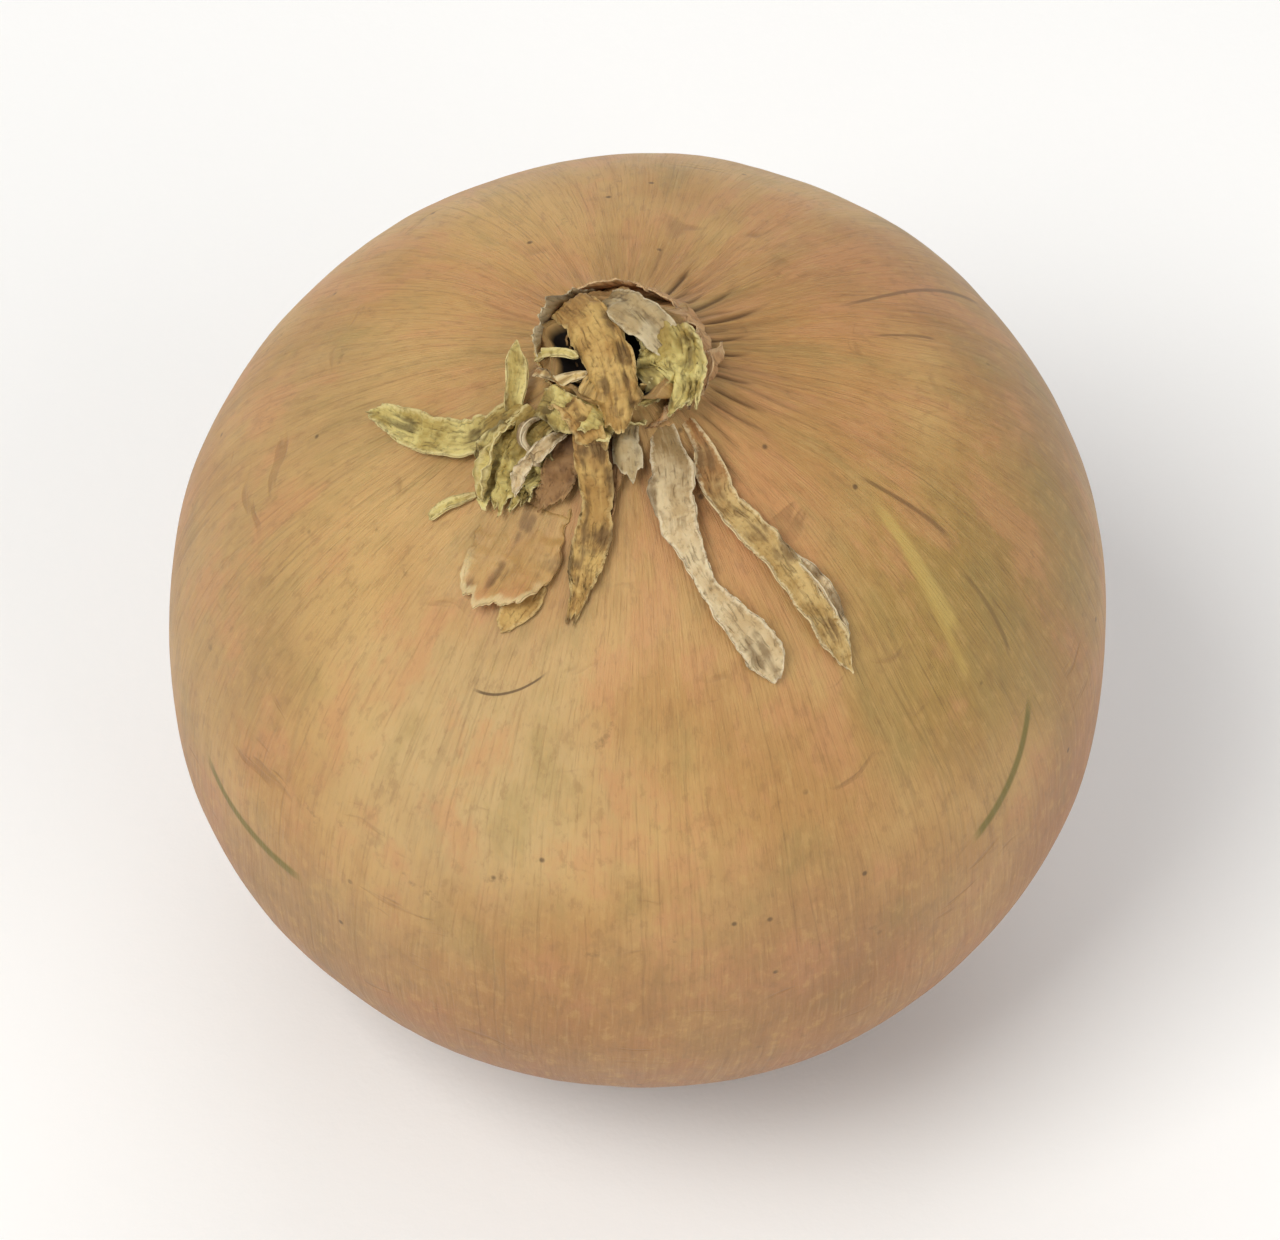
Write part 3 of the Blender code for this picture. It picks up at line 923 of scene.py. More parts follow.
@dataclass
class BulbSkin:
    """The bulb's outer skin with its wrinkles, from the root hollow to the torn hollow end of the neck.

    The relief comes from broad dents, ribs that run from neck to root, and pleats by the neck and the roots.
    Each neck wave is a number of folds round the neck, its size and its start in radians. Each cup ring is a
    share of the rim's size and a depth under it.
    """

    form: OnionForm
    columns: int = 400
    rows: int = 226
    neck_crowding: tuple[float, float] = (2.6, 15)
    root_crowding: tuple[float, float] = (1.2, 10)
    seed: int = 11
    dent: float = 0.00028
    rib: float = 0.00010
    pleat: float = 0.00022
    neck_fold_share: float = 0.10
    neck_fold_from: float = 0.914
    neck_twist: float = 0.9
    neck_waves: tuple[tuple[int, float, float], ...] = ((5, 1.0, 0.0), (8, 0.6, 1.0), (13, 0.5, 2.0))
    cup_rings: tuple[tuple[float, float], ...] = (
        (0.92, 0.0001), (0.8, 0.0009), (0.62, 0.0018), (0.32, 0.0024)
    )
    cup_full_shade_at: float = 0.0009
    cup_depth: float = 0.0026
    wrinkled_bearing: float = math.radians(15)
    named_wrinkles: tuple[Wrinkle, ...] = (
        Wrinkle(63, 5.2, 9.6, 3, 0.16, 0.22, 0.85),
        Wrinkle(56, 5.6, 7.6, -2, 0.12, 0.12, 0.5),
        Wrinkle(48, 5.4, 8.2, 2, 0.13, 0.14, 0.6),
        Wrinkle(41, 5.4, 10, 3, 0.15, 0.20, 0.8),
        Wrinkle(34, 5.8, 8.4, -3, 0.12, 0.12, 0.5),
        Wrinkle(27, 5.6, 10.6, 3.5, 0.15, 0.20, 0.8),
        Wrinkle(20, 5.4, 8, 2, 0.12, 0.12, 0.5),
        Wrinkle(13, 4.9, 8.8, 4, 0.14, 0.18, 0.75),
        Wrinkle(3, 5, 8.4, 3, 0.14, 0.18, 0.75),
        Wrinkle(355, 5.2, 7.4, -2, 0.12, 0.12, 0.5),
        Wrinkle(345, 5.4, 8.6, 3, 0.14, 0.16, 0.65),
        Wrinkle(334, 5.8, 10.4, 2, 0.14, 0.16, 0.65),
        Wrinkle(326, 6.2, 11.2, 3, 0.14, 0.16, 0.6),
        Wrinkle(316, 6.8, 10.6, -2, 0.13, 0.14, 0.5),
        Wrinkle(306, 7.2, 11.8, 2, 0.13, 0.14, 0.5),
    )

    def build(self, material: bpy.types.Material) -> bpy.types.Object:
        """Make the skin.

        Args:
            material: The skin's material.

        Returns:
            The piece.
        """
        outline, normals, run_mm = self.profile()
        bearings = np.radians(90 + 360 * np.arange(self.columns) / self.columns)[None, :]
        reach, height = outline[:, :1], outline[:, 1:]
        raised, crease_shade = self.relief(bearings, reach / MM, height / MM, run_mm[:, None])
        folded = reach * (1 + self.neck_folds(bearings, height))
        base = self.form.on_ring(bearings, folded, height)
        outwards = around_axis(bearings, normals[:, :1], normals[:, 1:])
        points = base + outwards * raised[..., None]
        grain = around_axis(bearings, GRAIN_RADIUS_MM, run_mm[:, None])
        # Painted shade on the floor of the root hollow.
        hollow = smooth_step(height / MM, 2.6, 2.0) * smooth_step(reach / MM, 9.5, 7.8) + 0 * bearings
        builder = MeshBuilder()
        rows = builder.add_points(points, {"grain": grain, "crease_shade": crease_shade, "hollow": hollow})
        builder.add_grid(rows[:, ::-1], closed=True)
        self.add_root_floor(builder, rows[0], points[0])
        self.add_neck_cup(builder, rows[-1], points[-1])
        piece = builder.make("bulb_skin", material)
        self.add_places(piece)
        return piece

    def profile(self) -> tuple[np.ndarray, np.ndarray, np.ndarray]:
        """Give the rows' (reach, height), their outward normals and their run along the outline in mm.

        Rows lie closer together near the neck and the roots, where the skin is wrinkled.
        """
        fine = self.form.outline_points(60)
        run = np.concatenate([[0.0], np.cumsum(np.linalg.norm(np.diff(fine, axis=0), axis=1))]) / MM
        density = np.ones(len(run))
        for (extra, reach), away in ((self.neck_crowding, run[-1] - run), (self.root_crowding, run)):
            density = density + extra * np.exp(-((away / reach) ** 2))
        travelled = np.concatenate([[0.0], np.cumsum((density[1:] + density[:-1]) / 2 * np.diff(run))])
        wanted = np.interp(np.linspace(0, travelled[-1], self.rows), travelled, run)
        outline = np.stack([np.interp(wanted, run, fine[:, k]) for k in (0, 1)], -1)
        along = np.gradient(outline, axis=0)
        normals = np.stack([along[:, 1], -along[:, 0]], -1)
        return outline, normals / np.linalg.norm(normals, axis=1, keepdims=True), wanted

    def neck_folds(self, bearings: np.ndarray, heights: np.ndarray) -> np.ndarray:
        """Give the share by which the twisted folds of the neck swell or pinch it."""
        foot = self.form.lift + self.neck_fold_from * self.form.height
        climb = np.clip((heights - foot) / (self.form.lift + self.form.height - foot), 0.0, 1.0)
        twisted = bearings + self.neck_twist * climb
        waves = sum(size * np.cos(count * twisted + start) for count, size, start in self.neck_waves)
        return self.neck_fold_share * np.minimum(1.0, 1.6 * climb) * waves / 1.6

    def relief(
        self, bearings: np.ndarray, reach_mm: np.ndarray, height_mm: np.ndarray, run_mm: np.ndarray
    ) -> tuple[np.ndarray, np.ndarray]:
        """Work out how far the skin stands out of the smooth form, and how much painted shade darkens its
        creases.

        Args:
            bearings: The columns' bearings in radians.
            reach_mm: The rows' reach.
            height_mm: The rows' height.
            run_mm: The rows' run along the outline.

        Returns:
            The relief in metres and the painted crease shade from 0 to 1, both (rows, columns).
        """
        noise = Noise(self.seed)
        x, y = np.cos(bearings), np.sin(bearings)
        upper = smooth_step(height_mm, 30.0, 45.0)
        raised = self.dent * noise.octaves(2.2 * x + 5, 2.2 * y + 5, height_mm / 16, 2)
        ribs = noise.octaves(9 * x + 11, 9 * y + 3, run_mm / 60, 3)
        raised = raised + self.rib * ribs * (0.5 + 0.5 * smooth_step(reach_mm, 33.0, 20.0))
        wrinkled = 0.25 + 0.75 * (0.5 + 0.5 * np.cos(bearings - self.wrinkled_bearing)) ** 2
        near_neck = upper * smooth_step(reach_mm, 13.5, 6.5) * wrinkled
        pleats = noise.creases(13 * x + 2, 13 * y + 9, run_mm / 30, 2) - 0.5
        raised = raised + self.pleat * near_neck * pleats
        near_root = (1 - upper) * smooth_step(reach_mm, 20.0, 9.0)
        puckers = noise.creases(15 * x + 20, 15 * y + 1, run_mm / 24, 2) - 0.5
        raised = raised + 1.1 * self.pleat * near_root * puckers
        # Painted shade in the creases of the pleats and puckers, and along the wrinkles.
        crease_shade = 0.30 * near_neck * smooth_step(pleats, -0.1, -0.35)
        crease_shade = crease_shade + 0.35 * near_root * smooth_step(puckers, 0.0, -0.3)
        for wrinkle in self.wrinkles():
            line = self.wrinkle_share(wrinkle, bearings, reach_mm) * upper
            raised = raised - wrinkle.depth_mm * MM * line
            crease_shade = np.maximum(crease_shade, wrinkle.painted_shade * line)
        return raised, crease_shade

    def wrinkles(self) -> list[Wrinkle]:
        """List the named wrinkles and the fainter ones all round the neck."""
        random = np.random.default_rng(self.seed)
        faint = []
        for bearing in np.arange(0, 360, 6.0):
            inner = random.uniform(5.0, 7.5)
            faint.append(
                Wrinkle(
                    bearing + random.uniform(-2.5, 2.5), inner, inner + random.uniform(2.0, 7.0),
                    random.uniform(-4, 4), random.uniform(0.10, 0.16), random.uniform(0.04, 0.09),
                    random.uniform(0.05, 0.25),
                )
            )
        return [*self.named_wrinkles, *faint]

    def wrinkle_share(self, wrinkle: Wrinkle, bearings: np.ndarray, reach_mm: np.ndarray) -> np.ndarray:
        """Give how much of a wrinkle is at each point, 0 to 1."""
        share = (reach_mm - wrinkle.inner_mm) / (wrinkle.outer_mm - wrinkle.inner_mm)
        path = np.radians(wrinkle.bearing + wrinkle.bend * np.clip(share, 0, 1) ** 2)
        turned = np.angle(np.exp(1j * (bearings - path)))
        off_mm = turned * reach_mm
        ends = smooth_step(share, -0.1, 0.15) * smooth_step(share, 1.0, 0.55)
        return np.exp(-((off_mm / wrinkle.width_mm) ** 2)) * ends

    def plain_values(self, count: int, hollow: float) -> dict[str, np.ndarray]:
        """Give what the skin's finish reads for points without grain or creases."""
        return {"grain": np.zeros((count, 3)), "crease_shade": np.zeros(count), "hollow": np.full(count, hollow)}

    def add_root_floor(self, builder: MeshBuilder, ring: np.ndarray, points: np.ndarray) -> None:
        """Close the floor of the root hollow, fully darkened with painted shade."""
        number = builder.add_points(points.mean(axis=0)[None, :], self.plain_values(1, 1.0))
        builder.add_fan(ring, int(number[0]))

    def add_neck_cup(self, builder: MeshBuilder, rim: np.ndarray, points: np.ndarray) -> None:
        """Sink a hollow into the end of the neck, darkened further down by painted shade, and close it."""
        middle = points.mean(axis=0)
        previous = rim
        for share, depth in self.cup_rings:
            ring_points = middle + (points - middle) * share
            ring_points[:, 2] = points[:, 2] - depth
            # Painted shade, darker deeper in the cup.
            hollow = min(1.0, depth / self.cup_full_shade_at)
            ring = builder.add_points(ring_points, self.plain_values(len(points), hollow))
            builder.add_grid(np.stack([previous, ring])[:, ::-1], closed=True)
            previous = ring
        end = (middle - np.array([0, 0, self.cup_depth]))[None, :]
        number = builder.add_points(end, self.plain_values(1, 1.0))
        builder.add_fan(previous[::-1], int(number[0]))

    def add_places(self, piece: bpy.types.Object) -> None:
        """Store each face corner's bearing (90 to 450 degrees), reach and height in mm, with no seam."""
        mesh = piece.data
        points = np.zeros(len(mesh.vertices) * 3)
        mesh.vertices.foreach_get("co", points)
        points = points.reshape(-1, 3) / MM
        corners = np.zeros(len(mesh.loops), int)
        mesh.loops.foreach_get("vertex_index", corners)
        x, y, z = points[corners].T
        bearing = past_back(np.degrees(np.arctan2(y, x)))
        totals = np.zeros(len(mesh.polygons), int)
        mesh.polygons.foreach_get("loop_total", totals)
        face_of = np.repeat(np.arange(len(totals)), totals)
        highest = np.zeros(len(totals))
        np.maximum.at(highest, face_of, bearing)
        bearing = np.where(bearing < highest[face_of] - 180, bearing + 360, bearing)
        places = np.stack([bearing, np.hypot(x, y), z], -1)
        made = mesh.attributes.new("place", "FLOAT_VECTOR", "CORNER")
        made.data.foreach_set("vector", places.astype(np.float32).ravel())


# ----------------------------------------------------------------------------------------------------
# Dried leaves
# ----------------------------------------------------------------------------------------------------


@dataclass(frozen=True)
class Station:
    """A place on a leaf's route: bearing, then reach, rise and width in mm, roll in degrees, and its curl.

    A curl of 1 closes the leaf into a tube with its edges outwards; a negative one turns the edges inwards.
    """

    bearing: float
    reach: float
    rise: float
    width: float
    roll: float = 0.0
    curl: float = 0.0

    def point(self, form: OnionForm) -> np.ndarray:
        """Give the station's place in metres."""
        reach = np.array(self.reach * MM)
        height = form.shoulder_height(reach) + self.rise * MM
        return form.on_ring(np.array(math.radians(self.bearing)), reach, height)


@dataclass(frozen=True)
class NeckStation:
    """A place on the route of a leaf that crosses the neck's end, as plain x, y and z in mm."""

    x: float
    y: float
    z: float
    width: float
    roll: float = 0.0
    curl: float = 0.0

    def point(self, form: OnionForm) -> np.ndarray:
        """Give the station's place in metres."""
        return np.array([self.x, self.y, self.z]) * MM


def fibre_place(across_mm: np.ndarray, along_mm: np.ndarray, seed: int) -> np.ndarray:
    """Give where a leaf's finish reads its pattern: across and along the leaf, in a layer of its own."""
    return np.stack([across_mm + 20, along_mm, np.full(across_mm.shape, float(seed) * 3.7)], -1)


def over_skin(*rows: tuple[float, ...]) -> tuple[Station, ...]:
    """Make a route over the shoulder from rows of bearing, reach, rise, width, roll and curl."""
    return tuple(Station(*row) for row in rows)


def over_neck(*rows: tuple[float, ...]) -> tuple[NeckStation, ...]:
    """Make a route over the neck's end from rows of x, y, z, width, roll and curl."""
    return tuple(NeckStation(*row) for row in rows)


@dataclass(frozen=True)
class DriedLeaf:
    """A dried leaf end: a thin veined sheet that follows its route out of the neck and over the shoulder.

    Its relief adds up veins along it, long folds, crumples and a frilled edge. Its edges are ragged, and
    its end is drawn to a point and frayed. The part up to the rooted share may start inside the neck.
    """

    name: str
    tone: LeafTone
    stations: tuple[Station | NeckStation, ...]
    slot: str = "dried_leaf"
    vein_mm: float = 0.05
    fold_mm: float = 0.26
    crumple_mm: float = 0.25
    crumples_per_mm: float = 0.55
    frill_mm: float = 0.25
    ragged: float = 0.4
    point: float = 0.08
    fray: float = 0.08
    thickness: float = 0.00014
    clearance_mm: float = 0.14
    rooted_share: float = 0.15
    seed: int = 1

    def build(self, form: OnionForm, finishes: dict[LeafTone, bpy.types.Material]) -> bpy.types.Object:
        """Make the leaf.

        Args:
            form: The onion's form, which the route lies on.
            finishes: The material of each tone.

        Returns:
            The piece.
        """
        noise = Noise(self.seed)
        rows = self.route_rows(form)
        length_mm = rows["run"][-1] / MM
        widest_mm = rows["width"].max() / MM
        across = np.linspace(-1, 1, max(15, int(widest_mm / 0.11)))
        along = np.linspace(0, 1, max(24, int(length_mm / 0.14)))

        # The outline: u runs from edge to edge, v from the foot to the frayed end.
        jags = noise.octaves(across * widest_mm * 0.6, 0 * across, 2.5, 4)
        end = 1 - self.point * across**2 - self.fray * (0.5 + 0.9 * jags)
        u = np.broadcast_to(across, (len(along), len(across)))
        v = along[:, None] * end[None, :]
        run_mm = v * length_mm
        edge = 3 * np.sign(u)
        torn = self.ragged * np.clip(0.2 + noise.octaves(run_mm * 0.5, 4 + edge, 1.5, 4), 0, 1)
        half = self.read(rows, "width", v) / 2 * (1 - torn * smooth_step(v, 0.0, 0.2))

        # The relief, whose crumples and frill start clear of the neck.
        flat_u = u * half / MM
        folds = noise.at(flat_u * 0.9, run_mm * 0.16, 7.5)
        veins = noise.creases(flat_u * 2.2 + 3, run_mm * 0.10, 3.5, 2) - 0.5
        cells = self.crumples_per_mm
        creases = noise.creases(flat_u * cells + 3, run_mm * cells * 0.9, self.seed * 0.37, 3) - 0.5
        frill = np.abs(u) ** 3 * noise.octaves(run_mm * 0.8, 9 + edge, 5.5, 2)
        free = smooth_step(v, 0.0, 0.2)
        relief_mm = self.vein_mm * veins + self.fold_mm * folds
        relief_mm = relief_mm + free * (self.crumple_mm * creases + self.frill_mm * frill)

        # The cross-section is an arc, turned with the route and kept clear of the bulb.
        curl = self.read(rows, "curl", v)
        angle = np.clip(np.abs(curl), 0.01, None) * math.pi
        lateral = half / angle * np.sin(u * angle)
        depth = half / angle * (1 - np.cos(u * angle)) * np.sign(curl + TINY)
        shifted = noise.octaves(flat_u * 0.7, run_mm * 0.5, 11.5, 3)
        lateral = lateral + MM * 0.3 * self.crumple_mm * free * shifted
        sides, faces = self.read(rows, "side", v), self.read(rows, "face", v)
        points = self.read(rows, "middle", v) + sides * lateral[..., None]
        points = points + faces * (depth + MM * relief_mm)[..., None]
        hidden_share = self.rooted_share * 0.5
        clearance = MM * self.clearance_mm * smooth_step(v, hidden_share, self.rooted_share)
        outside = form.keep_outside(points, clearance)
        points = np.where((v > hidden_share)[..., None], outside, points)

        # What the finish reads.
        rim = np.minimum((1 - np.abs(u)) * half / MM, (end[None, :] - v) * length_mm)
        fibre = fibre_place(flat_u, run_mm, self.seed)
        # Painted shade in the valleys of creases, folds and veins, deeper on crumpled leaves.
        shade = 0.2 * min(self.crumple_mm, 1.0)
        valley_shade = smooth_step(creases + 0.5 * folds + 0.5 * veins, shade - 0.15, shade - 0.5)
        if self.tone is LeafTone.SKIN:
            lip = smooth_step(rim + 0.3 * noise.octaves(run_mm, flat_u), 0.85, 0.35)
            values = skin_values(points, valley_shade, lip * smooth_step(v, 0.6, 0.8))
        else:
            values = {"fibre": fibre, "rim": rim, "valley_shade": valley_shade, "share": v}
        builder = MeshBuilder()
        add_sheet(builder, points, self.thickness, values)
        return builder.make(self.name, finishes[self.tone])

    def read(self, rows: dict[str, np.ndarray], name: str, shares: np.ndarray) -> np.ndarray:
        """Read a value or a vector of the route's rows at each share of its length."""
        column = rows[name]
        if column.ndim == 1:
            return np.interp(shares, rows["share"], column)
        return np.stack([np.interp(shares, rows["share"], column[:, k]) for k in range(3)], -1)

    def route_rows(self, form: OnionForm) -> dict[str, np.ndarray]:
        """Work out the leaf's route with its width, curl and directions, in evenly spaced rows."""
        middles = [station.point(form) for station in self.stations]
        extra = [(s.width * MM, s.roll, s.curl) for s in self.stations]
        smooth = smooth_curve(np.hstack([np.array(middles), np.array(extra)]), 16)
        steps = np.linalg.norm(np.diff(smooth[:, :3], axis=0), axis=1)
        run = np.concatenate([[0.0], np.cumsum(steps)])
        share = np.linspace(0, 1, 160)
        even = np.stack([np.interp(share * run[-1], run, smooth[:, k]) for k in range(6)], -1)
        sides, faces = self.directions(form, even[:, :3], even[:, 4])
        return {
            "share": share,
            "run": share * run[-1],
            "middle": even[:, :3],
            "width": even[:, 3],
            "curl": even[:, 5],
            "side": sides,
            "face": faces,
        }

    def directions(
        self, form: OnionForm, middles: np.ndarray, rolls: np.ndarray
    ) -> tuple[np.ndarray, np.ndarray]:
        """Give the sheet's width and face directions along its route.

        They start where the route lies flattest on the onion, facing away from it, and are carried both ways
        without twisting. The rolls are added last.

        Args:
            form: The onion's form.
            middles: The route's points.
            rolls: The roll at each of them, in degrees.

        Returns:
            The width directions and the face directions.
        """
        alongs = np.gradient(middles, axis=0)
        alongs /= np.linalg.norm(alongs, axis=1, keepdims=True)
        outwards = middles - np.array([0.0, 0.0, form.lift + form.height / 2])
        outwards /= np.linalg.norm(outwards, axis=1, keepdims=True)
        flattest = int(np.abs((alongs * outwards).sum(1)).argmin())
        faces = np.zeros_like(middles)
        for rows in (range(flattest, len(middles)), range(flattest, -1, -1)):
            face = outwards[flattest]
            for row in rows:
                face = face - alongs[row] * face.dot(alongs[row])
                face = face / np.linalg.norm(face)
                faces[row] = face
        sides = np.cross(faces, alongs)
        turn = np.radians(rolls)[:, None]
        return sides * np.cos(turn) + faces * np.sin(turn), faces * np.cos(turn) - sides * np.sin(turn)


@dataclass(frozen=True)
class NeckSheath:
    """A layer of dried leaf that wraps part of the neck, from a foot sunk into it to a torn edge."""

    name: str
    tone: LeafTone
    bearing: float
    half_angle: float
    offset_mm: float
    foot_mm: float
    top_mm: float
    flare_mm: float = 0.4
    ragged_mm: float = 1.2
    fold_mm: float = 0.3
    vein_mm: float = 0.12
    crumple_mm: float = 0.35
    thickness: float = 0.00014
    mean_reach_mm: float = 5.0
    least_reach_mm: float = 0.4
    sunk_mm: float = 1.1
    twist: float = 12.0
    seed: int = 1

    def build(self, form: OnionForm, finishes: dict[LeafTone, bpy.types.Material]) -> bpy.types.Object:
        """Make the sheath.

        Args:
            form: The onion's form, whose neck it wraps.
            finishes: The material of each tone.

        Returns:
            The piece.
        """
        noise = Noise(self.seed)
        half_mm = math.radians(self.half_angle) * self.mean_reach_mm
        across = np.linspace(-1, 1, max(18, int(2 * half_mm / 0.12)))
        jag = noise.octaves(across * half_mm * 0.9, across * 0 + 3, 1.5, 4)
        top = self.top_mm - self.ragged_mm * (0.4 + 1.2 * jag) - 1.4 * np.abs(across) ** 3
        v, u = np.meshgrid(np.linspace(0, 1, 44), across, indexing="ij")
        height_mm = self.foot_mm + (top[None, :] - self.foot_mm) * v
        torn = 0.14 * np.clip(noise.octaves(height_mm * 0.8, 5 + 4 * np.sign(u), 3.5, 3), -1, 1)
        bearings = np.radians(self.bearing + self.half_angle * u * (1 - torn * np.abs(u)) + self.twist * v)
        flat_u = u * half_mm
        folds = noise.at(flat_u * 0.55, height_mm * 0.2, 7.5)
        veins = noise.creases(flat_u * 1.5 + 3, height_mm * 0.12, 3.5, 2) - 0.5
        creases = noise.creases(flat_u * 0.6 + 4, height_mm * 0.5, self.seed * 0.41, 3) - 0.5
        neck_mm = form.reach_at(height_mm * MM) / MM
        sunk_mm = self.sunk_mm * smooth_step(v, 0.35, 0.0)
        reach_mm = neck_mm + self.offset_mm - sunk_mm + self.flare_mm * v**3
        free = smooth_step(v, 0.05, 0.35)
        reach_mm = reach_mm + free * (self.fold_mm * folds + self.vein_mm * veins + self.crumple_mm * creases)
        points = form.on_ring(bearings, np.maximum(reach_mm, self.least_reach_mm) * MM, height_mm * MM)
        rim = np.minimum((1 - np.abs(u)) * half_mm, (1 - v) * (top[None, :] - self.foot_mm))
        fibre = fibre_place(flat_u, height_mm, self.seed)
        # Painted shade in the valleys of creases, folds and veins.
        valley_shade = smooth_step(creases + 0.5 * folds + 0.8 * veins, 0.0, -0.5)
        values = {"fibre": fibre, "rim": rim, "valley_shade": valley_shade, "share": 0.3 + 0.7 * v}
        builder = MeshBuilder()
        turned = {name: value[:, ::-1] for name, value in values.items()}
        add_sheet(builder, points[:, ::-1], self.thickness, turned)
        return builder.make(self.name, finishes[self.tone])


